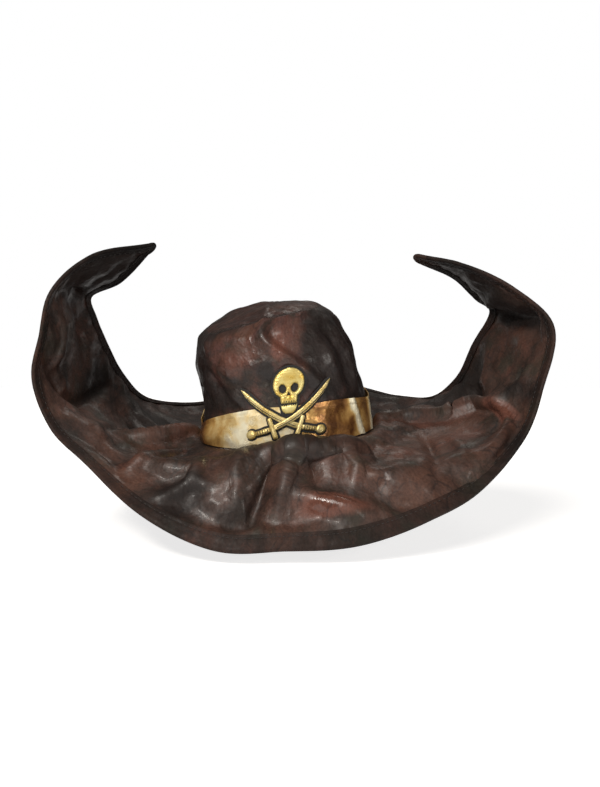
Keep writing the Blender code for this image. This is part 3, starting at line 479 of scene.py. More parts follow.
def settle(points, faces, pinned, swell, frames, cap, sag, bending=1.5):
    """Lets a surface settle as cloth that is cut a little larger than its frame."""
    item = linked("settling", mesh_of("settling", points, faces))
    held = item.vertex_groups.new(name="held")
    for i, share in enumerate(pinned):
        if share > 0:
            held.add([i], float(share), "REPLACE")
    cloth = item.modifiers.new("cloth", "CLOTH")
    rules = cloth.settings
    rules.quality = 7
    rules.mass = CLOTH_WEIGHT
    rules.tension_stiffness = rules.compression_stiffness = CLOTH_STIFFNESS
    rules.shear_stiffness = CLOTH_STIFFNESS / 2
    rules.bending_stiffness = bending
    rules.tension_damping = rules.compression_damping = 12.0
    rules.bending_damping = 2.0
    rules.air_damping = 4.0
    rules.vertex_group_mass = "held"
    rules.pin_stiffness = 1.0
    rules.shrink_min = rules.shrink_max = -swell
    rules.effector_weights.gravity = sag
    cloth.collision_settings.use_collision = False
    cloth.collision_settings.use_self_collision = False
    cloth.point_cache.frame_start = 1
    cloth.point_cache.frame_end = frames + 1
    scene = bpy.context.scene
    for at in range(1, frames + 1):
        scene.frame_set(at)
    seen = item.evaluated_get(bpy.context.evaluated_depsgraph_get())
    moved = np.zeros(len(points) * 3, np.float32)
    seen.data.vertices.foreach_get("co", moved)
    moved = moved.reshape(-1, 3).astype(float)
    bpy.data.objects.remove(item)
    scene.frame_set(1)
    step = moved - points
    size = np.linalg.norm(step, axis=1)[:, None]
    return points + step * np.minimum(1.0, cap / np.maximum(size, 1e-9))


def subdivided(points, faces, extra, tags):
    """Catmull-Clark subdivision that keeps the border, extra columns of values and face tags."""
    mesh = mesh_of("dividing", points, faces)
    for _ in range(max(tags) + 1):
        mesh.materials.append(None)
    mesh.polygons.foreach_set("material_index", np.array(tags, np.int32))
    for k in range(extra.shape[1]):
        made = mesh.attributes.new(f"extra_{k}", "FLOAT", "POINT")
        made.data.foreach_set("value", extra[:, k].astype(np.float32))
    item = linked("dividing", mesh)
    more = item.modifiers.new("more", "SUBSURF")
    more.levels = more.render_levels = 1
    more.boundary_smooth = "PRESERVE_CORNERS"
    seen = item.evaluated_get(bpy.context.evaluated_depsgraph_get()).data
    count = len(seen.vertices)
    co = np.zeros(count * 3, np.float32)
    seen.vertices.foreach_get("co", co)
    values = np.zeros((count, extra.shape[1]), np.float32)
    for k in range(extra.shape[1]):
        column = np.zeros(count, np.float32)
        seen.attributes[f"extra_{k}"].data.foreach_get("value", column)
        values[:, k] = column
    fine = [tuple(p.vertices) for p in seen.polygons]
    fine_tags = [p.material_index for p in seen.polygons]
    bpy.data.objects.remove(item)
    return co.reshape(-1, 3).astype(float), fine, values.astype(float), fine_tags


# ---- the brim, flat ----


def column(a, front, back):
    """Flat points across the brim at one a, from the front edge to the back edge."""
    width = front + back
    hem = min(HEM_WIDTH, 0.2 * width)
    inner = np.linspace(-front + hem, back - hem, ACROSS - 1)
    b = np.concatenate([[-front], inner, [back]])
    return np.column_stack([np.full(ACROSS + 1, a), b])


def horn_columns(way):
    """Columns of one horn, outward: flat points, pinned shares and whether it is the tip's."""
    end = KNOTS[0] if way < 0 else KNOTS[-1]
    held = np.zeros(ACROSS + 1)
    held[[0, 1, -2, -1]] = 1.0
    made = []
    for a in np.linspace(way * CENTRE_END, end, HORN_COLUMNS + 1)[1:]:
        front, back = (float(x[0]) for x in reaches(np.array([a])))
        made.append((column(a, front, back), held, abs(a) > ARM_END))
    half, centre = (front + back) / 2, (back - front) / 2
    for k in range(1, END_COLUMNS + 1):
        turn = math.radians(END_TURN_STEP * k)
        reach = half * math.cos(turn)
        rounded = column(end + way * half * math.sin(turn), reach, reach)
        rounded[:, 1] += centre
        made.append((rounded, np.ones(ACROSS + 1), True))
    return made


def flat_brim():
    """Flat points, faces, face tags (0 centre, 1 and 2 left, 3 and 4 right) and pinned shares."""
    a_run = np.linspace(-CENTRE_END, CENTRE_END, EDGE_COLUMNS + 1)
    front, back = reaches(a_run)
    left = column(-CENTRE_END, front[0], back[0])[2:-2]
    right = column(CENTRE_END, front[-1], back[-1])[2:-2]
    front_edge = np.column_stack([a_run, -front])
    back_edge = np.column_stack([a_run, back])
    hem = np.array([0.0, HEM_WIDTH])
    loop = np.vstack([front_edge + hem, right, (back_edge - hem)[::-1], left[::-1]])
    size, between = len(loop), len(left)
    opening = np.array(OPENING) - 0.5 * MM
    turn = np.arctan2(loop[:, 1] / opening[1], loop[:, 0] / opening[0])
    inner = np.column_stack([opening[0] * np.cos(turn), opening[1] * np.sin(turn)])
    points, pins = [], []
    for ring in range(RINGS + 1):
        points.append(loop + (inner - loop) * (ring / RINGS) ** RING_SPREAD)
        pins.append(np.full(size, 1.0 if ring == 0 or ring >= RINGS - 2 else 0.0))
    first_back = EDGE_COLUMNS + 1 + between
    pins[0][EDGE_COLUMNS + 1:first_back] = 0.0
    pins[0][size - between:] = 0.0
    points += [front_edge, back_edge[::-1]]
    pins += [np.ones(len(front_edge)), np.ones(len(back_edge))]
    faces = grid_faces(RINGS + 1, size, closed=True)
    base = size * (RINGS + 1)
    start = base + len(front_edge)
    for i in range(EDGE_COLUMNS):
        faces.append((base + i, base + i + 1, i + 1, i))
        faces.append((start + i, start + i + 1, first_back + i + 1, first_back + i))
    tags = [0] * len(faces)
    left_ids = [base, 0, *range(size - 1, size - between - 1, -1)]
    left_ids += [first_back + EDGE_COLUMNS, start + EDGE_COLUMNS]
    right_ids = [base + EDGE_COLUMNS, EDGE_COLUMNS, *range(EDGE_COLUMNS + 1, first_back)]
    right_ids += [first_back, start]
    total = start + len(back_edge)
    for way, previous, first_tag in ((-1, left_ids, 1), (1, right_ids, 3)):
        for made, held, in_tip in horn_columns(way):
            current = list(range(total, total + ACROSS + 1))
            total += ACROSS + 1
            points.append(made)
            pins.append(held)
            for j in range(ACROSS):
                quad = (previous[j], current[j], current[j + 1], previous[j + 1])
                faces.append(quad if way > 0 else quad[::-1])
            tags += [first_tag + int(in_tip)] * ACROSS
            previous = current
    return np.vstack(points), faces, tags, np.concatenate(pins)


def loose_share(a, b, width):
    """Nothing at the hem and the crown seam, growing to 1 a width away from the hem."""
    return np.clip((edge_gap(a, b) - HEM_WIDTH) / width, 0, 1) * seam_share(a, b)


def brim_surface():
    """The settled and divided brim: points, normals, faces, tags and flat places."""
    flat, faces, tags, pins = flat_brim()
    a, b = flat.T
    free = loose_share(a, b, 20 * MM)
    for path in (CREST, FRONT_ROLL):
        near = np.exp(-(path_distance(a, b, path)[0] / CALM_WIDTH) ** 2)
        free = free * (1 - CALM_SHARE * near)
    rise = FOLD_PASS * fold_rise(a, b)
    rise = rise + 4.0 * MM * free * lumps(np.column_stack([a, b, 0 * a]), 20, 3.0)
    places = smooth_place(a, b) + smooth_normal(a, b) * rise[:, None]
    places = settle(places, faces, pins, 0.035, 24, 13 * MM, sag=0.1, bending=0.6)
    points, faces, extra, tags = subdivided(places, faces, flat, tags)
    a, b = extra.T
    at = np.column_stack([a, b, 0 * a])
    fine = 1.5 * MM * lumps(at, 60, 9.0) + 1.8 * MM * lumps(at, 31, 2.0)
    rise = fine * loose_share(a, b, 15 * MM) + FOLD_PASS * fold_rise(a, b)
    points = points + vertex_normals(points, faces) * rise[:, None]
    return points, vertex_normals(points, faces), faces, np.array(tags), extra


PARTS = ("brim", "left_arm", "left_tip", "right_arm", "right_tip")
BODIES = {
    "brim": ("hat",),
    "left_arm": ("hat", "left_arm"),
    "left_tip": ("left_arm", "left_tip"),
    "right_arm": ("hat", "right_arm"),
    "right_tip": ("right_arm", "right_tip"),
}


def follow(piece, part):
    """Makes a piece of the brim's middle ride on the hat; a piece of an arm or a tip only has its
    transform baked into its mesh.
    """
    bodies = BODIES[part]
    if len(bodies) == 1:
        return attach(piece, bodies[0])
    side = part.split("_")[0]
    first, last = (SHOULDERS if part.endswith("arm") else CREASES)[side]
    _, middle, _, _ = stations_at(np.array([first, last]))
    joint = next(j for j in frame["joints"] if j["child"] == bodies[1])
    axis = np.array(joint["axis"])
    way = middle[1] - middle[0]
    way = way - axis * (way @ axis)
    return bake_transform(piece)


LAYER_LOW, LAYER_HIGH = 0.2 * MM, 0.9 * MM


def brim_layers(surface, upper_look, under_look):
    """The upper and the under layer of each part of the brim."""
    points, normals, faces, tags, flat = surface
    for tag, part in enumerate(PARTS):
        used, own = part_of(faces, tags == tag)
        cloth = np.column_stack([flat[used], np.zeros(len(used))])
        for layer, look, low, high in (
            ("upper", upper_look, LAYER_LOW, LAYER_HIGH),
            ("under", under_look, -LAYER_HIGH, -LAYER_LOW),
        ):
            shift = np.array([0.0, 0.0, 0.0 if layer == "upper" else 0.35])
            piece = solid_sheet(
                f"look_{part}_{layer}", points[used], normals[used], own, low, high, look,
                cloth + shift, brim_tone(cloth),
            )
            follow(piece, part)
            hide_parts(f"{part}_{layer}")


# ---- the hem, its wire and its stitches ----


def edge_of(a, side):
    """The brim's front edge, for side -1, or its back edge, for side 1, at each a."""
    front, back = reaches(a)
    return -front if side < 0 else back


def edge_loop(step):
    """The brim's whole outer edge, flat: front edge left to right, then back; and ways outward."""
    points, outward = [], []
    count = int((KNOTS[-1] - KNOTS[0]) / step)
    run = np.linspace(KNOTS[0], KNOTS[-1], count + 1)
    for side, order in ((-1, run), (1, run[::-1])):
        slope = (edge_of(order + MM, side) - edge_of(order - MM, side)) / (2 * MM)
        steep = np.sqrt(1 + slope * slope)
        points.append(np.column_stack([order, edge_of(order, side)]))
        away = np.column_stack([-side * slope, np.full(len(order), side)])
        outward.append(away / steep[:, None])
        end = order[-1]
        way = 1 if end > 0 else -1
        front, back = (float(x[0]) for x in reaches(np.array([end])))
        half, centre = (front + back) / 2, (back - front) / 2
        turns = np.radians(np.arange(-75, 76, 15.0)) * (1 if side < 0 else -1)
        round_way = np.column_stack([way * np.cos(turns), np.sin(turns)])
        points.append(np.array([end, centre]) + half * round_way)
        outward.append(round_way)
    points, outward = np.vstack(points), np.vstack(outward)
    for _ in range(2):
        beside = np.roll(outward, 1, axis=0) + np.roll(outward, -1, axis=0)
        outward = unit(outward + 0.5 * beside)
    return points, outward


def edge_places(flat, outward, out, rise):
    """Places past the edge by out, raised by rise."""
    inset = np.full(len(flat), out)
    if out < 0:
        front, back = reaches(np.clip(flat[:, 0], KNOTS[0], KNOTS[-1]))
        inset = -np.minimum(-out, 0.35 * (front + back))
    at = flat + outward * inset[:, None]
    return smooth_place(at[:, 0], at[:, 1]) + smooth_normal(at[:, 0], at[:, 1]) * rise


HEM_STEP = 5 * MM
WIRE_OUT, WIRE_RADIUS = 2.1 * MM, 0.75 * MM

# Half of the hem's section: distance past the layers' edge and rise, in millimetres.
HEM_SECTION = (
    (-8.0, 1.0), (-8.3, 1.5), (-7.4, 1.8), (-6.2, 1.7), (-5.6, 1.4), (-5.0, 1.75), (-3.0, 1.9),
    (-1.4, 1.85), (-0.4, 1.95), (0.8, 2.25), (2.1, 2.4), (3.4, 2.1), (4.4, 1.3), (4.8, 0.0),
)


def part_of_column(a):
    """Which part of the brim a flat place belongs to."""
    if abs(a) <= CENTRE_END:
        return "brim"
    side = "left" if a < 0 else "right"
    return f"{side}_arm" if abs(a) <= ARM_END else f"{side}_tip"


def hem_runs(flat):
    """Runs of neighbouring samples in one part: (part, first, last), last shared with the next."""
    between = (flat[:, 0] + np.roll(flat[:, 0], -1)) / 2
    names = [part_of_column(a) for a in between]
    start = next(i for i in range(len(flat)) if names[i] != names[i - 1])
    runs, i = [], start
    while i < start + len(flat):
        last = i
        while last < start + len(flat) and names[last % len(flat)] == names[i % len(flat)]:
            last += 1
        runs.append((names[i % len(flat)], i, last))
        i = last
    return runs


def tube(grid):
    """Points and faces of a closed tube through a grid of places, ring by ring, facing out."""
    around, columns = grid.shape[:2]
    points = grid.transpose(1, 0, 2).reshape(-1, 3)
    faces = grid_faces(columns, around, closed=True)
    faces.append(tuple(range(around))[::-1])
    faces.append(tuple((columns - 1) * around + k for k in range(around)))
    centre = points.reshape(columns, around, 3).mean(1)
    probe = vertex_normals(points, faces)
    if ((points - np.repeat(centre, around, axis=0)) * probe).sum() < 0:
        faces = [f[::-1] for f in faces]
    return points, faces


def hem_piece(name, part, grid, look, cloth=None, tone=None):
    """One length of the hem's leather or of its wire."""
    points, faces = tube(grid)
    piece = finished("look_" + name, points, faces, look, cloth, tone=tone)
    follow(piece, part)
    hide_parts(name)


def hem(look, thread_look, steel_look):
    """The folded hem round the whole brim, with the wire inside and a line of stitches."""
    flat, outward = edge_loop(HEM_STEP)
    waves = np.column_stack([flat, np.zeros(len(flat))])
    ripple = soft_noise(waves, 55, 2.0) * 0.5 + soft_noise(waves, 140, 7.0) * 0.3
    lift = smooth_normal(flat[:, 0], flat[:, 1]) * (ripple * 0.5 * MM)[:, None]
    section = [*HEM_SECTION, *[(out, -rise) for out, rise in HEM_SECTION[::-1][1:]]]
    casing = [edge_places(flat, outward, out * MM, rise * MM) for out, rise in section]
    casing = np.array(casing) + lift
    pattern = np.array([flat + outward * out * MM for out, _ in section])
    wire = []
    for turn in range(8):
        around = 2 * math.pi * turn / 8
        out, rise = WIRE_RADIUS * math.cos(around), WIRE_RADIUS * math.sin(around)
        wire.append(edge_places(flat, outward, WIRE_OUT + out, rise) + lift)
    wire = np.array(wire)
    for part, first, last in hem_runs(flat):
        ids = [i % len(flat) for i in range(first, last + 1)]
        side = "front" if flat[ids[len(ids) // 2], 1] < 0 else "back"
        label = "" if part.endswith("tip") else f"_{side}"
        places = pattern[:, ids].transpose(1, 0, 2).reshape(-1, 2)
        cloth = np.column_stack([places, np.zeros(len(places))])
        tone = brim_tone(places)
        hem_piece(f"{part}_casing{label}", part, casing[:, ids], look, cloth, tone)
        hem_piece(f"{part}_wire{label}", part, wire[:, ids], steel_look)
    stitches(thread_look)


STITCH_LENGTH, STITCH_PITCH, STITCH_LINE = 3.2 * MM, 4.6 * MM, -5.6 * MM
STITCH_RISE = 1.55 * MM

# A stitch's rings: share of its length, half width and height of the middle, in millimetres.
STITCH_RINGS = ((0.0, 0.12, -0.1), (0.25, 0.32, 0.3), (0.75, 0.32, 0.3), (1.0, 0.12, -0.1))
STITCH_SECTION = ((-1.0, -0.3), (-0.7, 0.5), (0.0, 0.9), (0.7, 0.5), (1.0, -0.3))


def stitches(look):
    """The line of stitches along the hem, on both faces of the brim."""
    flat, outward = edge_loop(STITCH_PITCH / 4)
    middle = edge_places(flat, outward, STITCH_LINE, STITCH_RISE)
    under = edge_places(flat, outward, STITCH_LINE, -STITCH_RISE)
    normal = unit(middle - under)
    count = len(flat)
    made = {part: ([], [], []) for part in PARTS}
    for i in range(0, count - 3, 4):
        part = part_of_column(flat[i, 0])
        if part != part_of_column(flat[(i + 3) % count, 0]):
            continue
        points, faces, cloth = made[part]
        for line, up in ((middle, 1), (under, -1)):
            start, end = line[i], line[i + 3]
            way = end - start
            length = np.linalg.norm(way)
            if length < 1e-5 or length > 2 * STITCH_PITCH:
                continue
            way /= length
            rise = normal[i] * up
            side = np.cross(way, rise)
            first = len(points)
            for share, half, high in STITCH_RINGS:
                at = (start + end) / 2 + way * (share - 0.5) * STITCH_LENGTH
                for x, z in STITCH_SECTION:
                    points.append(at + side * x * half * MM + rise * (high + z * half) * MM)
                    cloth.append(at)
            faces += grid_faces(4, 5, closed=True, first=first)
            faces.append(tuple(first + k for k in range(5))[::-1])
            faces.append(tuple(first + 15 + k for k in range(5)))
    for part, (points, faces, cloth) in made.items():
        name = f"look_{part}_stitches"
        piece = finished(name, np.array(points), faces, look, np.array(cloth))
        follow(piece, part)


# ---- the crown ----

CROWN_RINGS = (
    (0.00, 0.0, 0.0, 94.0, 105.0, 0.08),
    (0.30, -2.6, 42.0, 87.8, 101.0, 0.10),
    (0.65, -14.4, 90.0, 83.8, 96.0, 0.13),
    (0.88, -21.0, 120.0, 74.0, 84.0, 0.15),
    (1.00, -14.0, 137.0, 52.0, 64.0, 0.08),
)
CROWN_SLANT = 139 * MM
CROWN_SEAT = 1.2 * MM  # the crown's base above the middle of the brim
SEAM_SHARE = 0.30
CROWN_COLUMNS = 120
CROWN_ROWS = 34
CROWN_OUT = 0.4 * MM
PINNED_SHARE = 0.33
EMBLEM_SPREAD = 42  # degrees either side of the front where the emblem lies
TOP_LEAN, TOP_LEAN_TURN, TOP_LEAN_SPREAD = 0.11, math.radians(205), math.radians(50)
ROW_SPREAD = 0.95
TOP_RINGS = 14


def ring_values(v):
    """Centre x, height, half width, half depth and slope of the crown's ring at each v."""
    table = np.array(CROWN_RINGS)
    read = [np.interp(v, table[:, 0], table[:, k]) for k in range(1, 6)]
    return read[0] * MM, read[1] * MM, read[2] * MM, read[3] * MM, read[4]


def ring_place(turn, v):
    """Places of the crown's free shape."""
    centre, height, half_width, half_depth, slope = ring_values(v)
    x = centre + half_width * np.cos(turn)
    return np.column_stack([x, half_depth * np.sin(turn), height + slope * (x - centre)])


def crown_place(turn, v, out=0.0):
    """Places on the crown, moved out along its normal, with its base sewn to the brim."""
    place = ring_place(turn, v)
    a, b = OPENING[0] * np.cos(turn), OPENING[1] * np.sin(turn)
    base = smooth_place(a, b) + smooth_normal(a, b) * CROWN_SEAT
    low = np.clip(1 - v / SEAM_SHARE, 0, 1)[:, None] ** 2
    place = place + (base - ring_place(turn, 0 * v)) * low
    step = 0.01
    around = ring_place(turn + step, v) - ring_place(turn - step, v)
    up = ring_place(turn, np.minimum(v + step, 1)) - ring_place(turn, np.maximum(v - step, 0))
    return place + unit(np.cross(around, up)) * np.reshape(out, (-1, 1))


# Folds of the crown: path of (turn in degrees, height share), height in mm, half width in mm.
CROWN_FOLDS = (
    (((-98, 0.97), (-90, 0.80), (-76, 0.66), (-62, 0.46)), 10, 5),
    (((-90, 0.92), (-80, 0.76), (-66, 0.62)), -6, 6),
    (((-100, 0.60), (-92, 0.50), (-80, 0.46)), -4, 8),
    (((-8, 0.34), (-6, 0.60), (-10, 0.92)), 1.5, 4),
    (((-16, 0.36), (-15, 0.60), (-19, 0.92)), -7, 3),
    (((-24, 0.36), (-24, 0.62), (-29, 0.90)), 6, 4),
    (((-33, 0.38), (-34, 0.64), (-40, 0.86)), -5, 4),
    (((-44, 0.44), (-46, 0.66), (-52, 0.86)), 4, 5),
    (((4, 0.34), (8, 0.55), (6, 0.84)), -9, 9),
    (((-128, 0.40), (-140, 0.52), (-150, 0.70)), -6, 6),
    (((-118, 0.36), (-126, 0.46)), 5, 5),
    (((-140, 0.74), (-150, 0.88)), 5, 6),
    (((-150, 0.34), (-165, 0.46), (-170, 0.66)), -5, 8),
    (((60, 0.40), (75, 0.60), (70, 0.85)), -6, 9),
    (((90, 0.40), (98, 0.64), (92, 0.88)), 6, 7),
    (((120, 0.45), (135, 0.65), (150, 0.80)), 6, 9),
)

# Patches of tone on the crown: turn in degrees and height share, half sizes, tone. The first four make
# the left and right sides darker, and the two light ones on the front crease are painted highlights.
CROWN_PATCHES = (
    ((-166, 0.55), (28, 0.6), -1.0),
    ((175, 0.6), (30, 0.7), -0.9),
    ((-48, 0.70), (24, 0.30), -0.95),
    ((-14, 0.55), (24, 0.7), -0.9),
    ((-94, 0.62), (13, 0.07), -0.9),
    ((-114, 0.70), (19, 0.17), 0.65),
    # these two: painted highlights on the front crease
    ((-87, 0.70), (4, 0.15), 0.9),
    ((-84, 0.84), (12, 0.12), 0.6),
    ((-125, 0.42), (24, 0.12), -0.55),
    ((-60, 0.42), (14, 0.12), -0.4),
    ((-132, 0.95), (20, 0.08), -0.5),
)


def crown_sculpt(turn, v):
    """How far the crown's folds stand out from its smooth side."""
    degrees = degrees_of(turn)
    out = np.zeros(len(turn))
    for path, height, width in CROWN_FOLDS:
        a, b = degrees * 1.6 / 10, v * 13.9
        gap, share = path_distance(a / 100, b / 100, [(t * 0.16, s * 13.9) for t, s in path])
        taper = 0.3 + 0.7 * np.sin(np.pi * np.clip(share, 0.02, 0.98)) ** 0.7
        far = np.hypot(gap / (width * MM), 0.25) - 0.25
        out += height * MM * taper * np.exp(-far)
    return out * np.clip((v - 0.28) / 0.1, 0, 1)


def degrees_of(turn):
    """Turns as degrees from -180 to 180."""
    return np.degrees(np.arctan2(np.sin(turn), np.cos(turn)))


def top_share(turn):
    """Height share of the seam round the top: the top leans down to the front left."""
    past = (np.mod(turn, 2 * math.pi) - TOP_LEAN_TURN) / TOP_LEAN_SPREAD
    return 1 - TOP_LEAN * np.exp(-past ** 2)


def front_share(degrees):
    """1 on the front of the crown, where the emblem lies, and nothing round the sides."""
    return np.exp(-((degrees + 90) / EMBLEM_SPREAD) ** 4)


TOP_MARK = 0.9  # third cloth coordinate of the top, which is 0 on the side
TOP_MARK_LEAST = 0.4  # from here on a divided point belongs to the top
TOP_TONE = -0.35
CROWN_MOVES = {}  # how far the settled crown lies from its smooth shape, row by row


def crown_move(turn, v):
    """The settled crown's offset from its smooth shape at each place."""
    moves = CROWN_MOVES["side"]
    row = np.clip(v / top_share(turn), 0, 1) ** (1 / ROW_SPREAD) * CROWN_ROWS
    column = np.mod(turn, 2 * math.pi) / (2 * math.pi) * CROWN_COLUMNS
    r, c = np.minimum(row.astype(int), CROWN_ROWS - 1), column.astype(int) % CROWN_COLUMNS
    y, x = (row - r)[:, None], (column - np.floor(column))[:, None]
    after = (c + 1) % CROWN_COLUMNS
    low = moves[r, c] * (1 - x) + moves[r, after] * x
    return low * (1 - y) + (moves[r + 1, c] * (1 - x) + moves[r + 1, after] * x) * y


def softened(grid, times):
    """A closed grid of values averaged with its neighbours."""
    for _ in range(times):
        wide = (np.roll(grid, 1, axis=1) + grid * 2 + np.roll(grid, -1, axis=1)) / 4
        tall = np.concatenate([wide[:1], wide, wide[-1:]])
        grid = (tall[:-2] + 2 * tall[1:-1] + tall[2:]) / 4
    return grid


def crown_side_rows(turns):
    """The folded side and its smooth shape, row by row from the foot."""
    rows, smooth = [], []
    for v in np.linspace(0, 1, CROWN_ROWS + 1) ** ROW_SPREAD:
        share = v * top_share(turns)
        places = crown_place(turns, share, CROWN_OUT)
        smooth.append(places)
        lump = 3.5 * MM * lumps(places, 26, 5.0) * np.clip((v - 0.3) * 5, 0, 1)
        out = crown_sculpt(turns, share) + lump * (1 - 0.6 * front_share(degrees_of(turns)))
        places = crown_place(turns, share, CROWN_OUT + out)
        cloth = np.column_stack([turns * 0.095, share * CROWN_SLANT, 0 * turns])
        held = np.full(CROWN_COLUMNS, 1.0 if v < PINNED_SHARE else 0.0)
        rows.append((places, cloth, held))
    return rows, smooth


def crown_top_rows(rim):
    """The domed top, ring by ring from the seam inwards."""
    rows = []
    middle = rim.mean(0)
    for ring in range(1, TOP_RINGS + 1):
        share = ring / TOP_RINGS * 0.97
        flat = rim + (middle - rim) * share
        rise = 11 * MM * (1 - (1 - share) ** 2) + 3.5 * MM * lumps(flat, 30, 1.0)
        places = flat + np.array([0, 0, 1]) * rise[:, None]
        cloth = np.column_stack([flat[:, :2], np.full(CROWN_COLUMNS, TOP_MARK)])
        rows.append((places, cloth, np.zeros(CROWN_COLUMNS)))
    return rows


def crown_surface():
    """The settled crown, side and top in one: points, normals, faces, tags, cloth places, tone."""
    turns = np.arange(CROWN_COLUMNS) * 2 * math.pi / CROWN_COLUMNS
    rows, smooth = crown_side_rows(turns)
    rows += crown_top_rows(rows[-1][0])
    points, cloth, pins = (list(values) for values in zip(*rows))
    points, cloth = ([*grid, grid[-1].mean(0)] for grid in (points, cloth))
    points, cloth, pins = np.vstack(points), np.vstack(cloth), np.append(np.concatenate(pins), 0.0)
    faces = grid_faces(len(rows), CROWN_COLUMNS, closed=True)
    centre = len(points) - 1
    cap = [centre - CROWN_COLUMNS + i for i in range(CROWN_COLUMNS)]
    faces += [(cap[i], cap[(i + 1) % CROWN_COLUMNS], centre) for i in range(CROWN_COLUMNS)]
    tags = [0] * (CROWN_ROWS * CROWN_COLUMNS) + [1] * ((TOP_RINGS + 1) * CROWN_COLUMNS)
    places = settle(points, faces, pins, 0.02, 16, 5 * MM, sag=0.0)
    smooth = np.array(smooth)
    moves = places[:smooth.size // 3].reshape(smooth.shape) - smooth
    CROWN_MOVES["side"] = softened(moves, 3)
    places, faces, cloth, tags = subdivided(places, faces, cloth, tags)
    height = cloth[:, 1] / CROWN_SLANT
    degrees = degrees_of(np.arctan2(places[:, 1], places[:, 0] + 14 * MM))
    on_top = cloth[:, 2] > TOP_MARK_LEAST
    free = np.where(on_top, 1.0, np.clip((height - 0.34) * 8, 0, 1))
    free *= 1 - 0.7 * front_share(degrees) * ~on_top
    fine = 1.6 * MM * lumps(places, 60, 9.0) + 2.2 * MM * lumps(places, 33, 2.0)
    places = places + vertex_normals(places, faces) * (fine * free)[:, None]
    tone = np.where(on_top, TOP_TONE, patch_tone(degrees, height, CROWN_PATCHES))
    return places, vertex_normals(places, faces), faces, np.array(tags), cloth, tone


def on_hat(piece, node=None):
    """Makes a piece ride on the hat, in place of a node of the frame."""
    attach(piece, "hat")
    if node:
        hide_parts(node)


def crown(side_look):
    """Crown side and crown top."""
    points, normals, faces, tags, cloth, tone = crown_surface()
    for tag, (name, flat, area, held, on) in enumerate((
        ("crown_side", (0.145, 0.63), 0.082, "stretched", ["brim_upper"]),
        ("crown_tip", (0.125, 0.145), 0.0135, "laid", ["crown_side"]),
    )):
        used, own = part_of(faces, tags == tag)
        piece = solid_sheet(
            f"look_{name}", points[used], normals[used], own, -CROWN_OUT, CROWN_OUT, side_look,
            cloth[used], tone[used],
        )
        on_hat(piece, name)


def ring_sheet(name, rows, normals_out, look, thickness, cloth=None, tone=None):
    """A thin closed sheet through closed rows of places."""
    count = len(rows[0])
    points = np.vstack(rows)
    faces = grid_faces(len(rows), count, closed=True)
    normals = vertex_normals(points, faces)
    if normals_out * (normals[:count] * (rows[0] - rows[0].mean(0))).sum() < 0:
        faces = [f[::-1] for f in faces]
        normals = -normals
    place, half = points if cloth is None else cloth, thickness / 2
    return solid_sheet(name, points, normals, faces, -half, half, look, place, tone)


INSIDE_COLUMNS = 96
LINING_TOP = ((-0.012, 0.056), (0.0, 0.066), 0.1118)  # centre and half size across, deep; height
LINING_RINGS = (0.985, 0.8, 0.6, 0.4, 0.2, 0.03)

# The lining's side: height share and distance inside the crown in millimetres.
LINING_ROWS = (
    (0.006, 1.5), (0.08, 1.6), (0.16, 1.8), (0.28, 2.6),
    (0.36, 5.0), (0.44, 8.0), (0.52, 11.0), (0.6, 13.0),
)
SWEATBAND_HEIGHT = 30


def inside(lining_look, sweat_look):
    """The lining and the sweatband inside the crown."""
    turns = np.arange(INSIDE_COLUMNS) * 2 * math.pi / INSIDE_COLUMNS
    rows = []
    for v, inset in LINING_ROWS:
        gather = 0.9 * np.sin(turns * 23) * max(0.0, v - 0.28) * 3
        out = -(inset + 0.5 - gather * 0.5) * MM
        rows.append(crown_place(turns, np.full(INSIDE_COLUMNS, v), out))
    (x, wide), (y, deep), high = LINING_TOP
    top = [x + wide * np.cos(turns), y + deep * np.sin(turns), np.full(INSIDE_COLUMNS, high)]
    top = np.column_stack(top)
    top[:, 2] += 0.06 * (top[:, 0] + 0.007)
    rows += [rows[-1] + (top - rows[-1]) * s for s in (0.33, 0.66)] + [top]
    centre = top.mean(0)
    disc = []
    for share in LINING_RINGS:
        puff = np.array([0, 0, 0.7 * MM * math.sin(9 * share)])
        disc.append(centre + (top - centre) * share + puff)
    band = []
    for share in np.linspace(0, 1, 9):
        v = 0.01 + share * SWEATBAND_HEIGHT / 139
        out = (-3.7 - 0.5 * math.sin(math.pi * share)) * MM
        band.append(crown_place(turns, np.full(INSIDE_COLUMNS, v), out))
    for node, grid, look, thick, slot, flat, area in (
        ("crown_lining_side", rows, lining_look, 0.4, "lining", (0.13, 0.60), 0.066),
        ("crown_lining_tip", disc, lining_look, 0.4, "lining", (0.115, 0.134), 0.0118),
        ("sweatband", band, sweat_look, 0.9, "sweatband", (0.03, 0.61), None),
    ):
        piece = ring_sheet("look_" + node, grid, -1, look, thick * MM)
        on_hat(piece, node)


# ---- gold band ----

BAND_COLUMNS = 260
PLEAT_TURN, PLEAT_LEAN = math.radians(-29.5), math.radians(-8)
END_TURN, END_LEAN = math.radians(-13), math.radians(-3)
BAND_TOP = 45  # height of the band's top edge in millimetres, before it dips
BAND_ROWS = (2, 5, 9, 14, 19, 24, 29, 33, 37.2, 38.6, 39.2, 41, 43.5, 45)
BAND_SEAM = 38.6  # the row where the hem along the top is sewn down

# Where the top edge dips: turn in degrees, half width, depth in millimetres.
BAND_DIPS = ((-180, 22, 20), (180, 22, 20), (-156, 26, 11), (-5, 34, 9))

# Painted reflections on the band, brighter where it would mirror the lamps and browner where it would
# mirror dark: turn in degrees, half width, tone.
BAND_REFLECTIONS = (
    (-166, 14, -1.5), (-138, 12, 0.1), (-118, 15, 1.1),
    (-88, 14, 0.9), (-56, 18, -0.85), (-22, 5, -0.5),
)


def bell(x, at, width, power=2):
    """1 at one place, falling off to both sides."""
    return np.exp(-np.abs((x - at) / width) ** power)


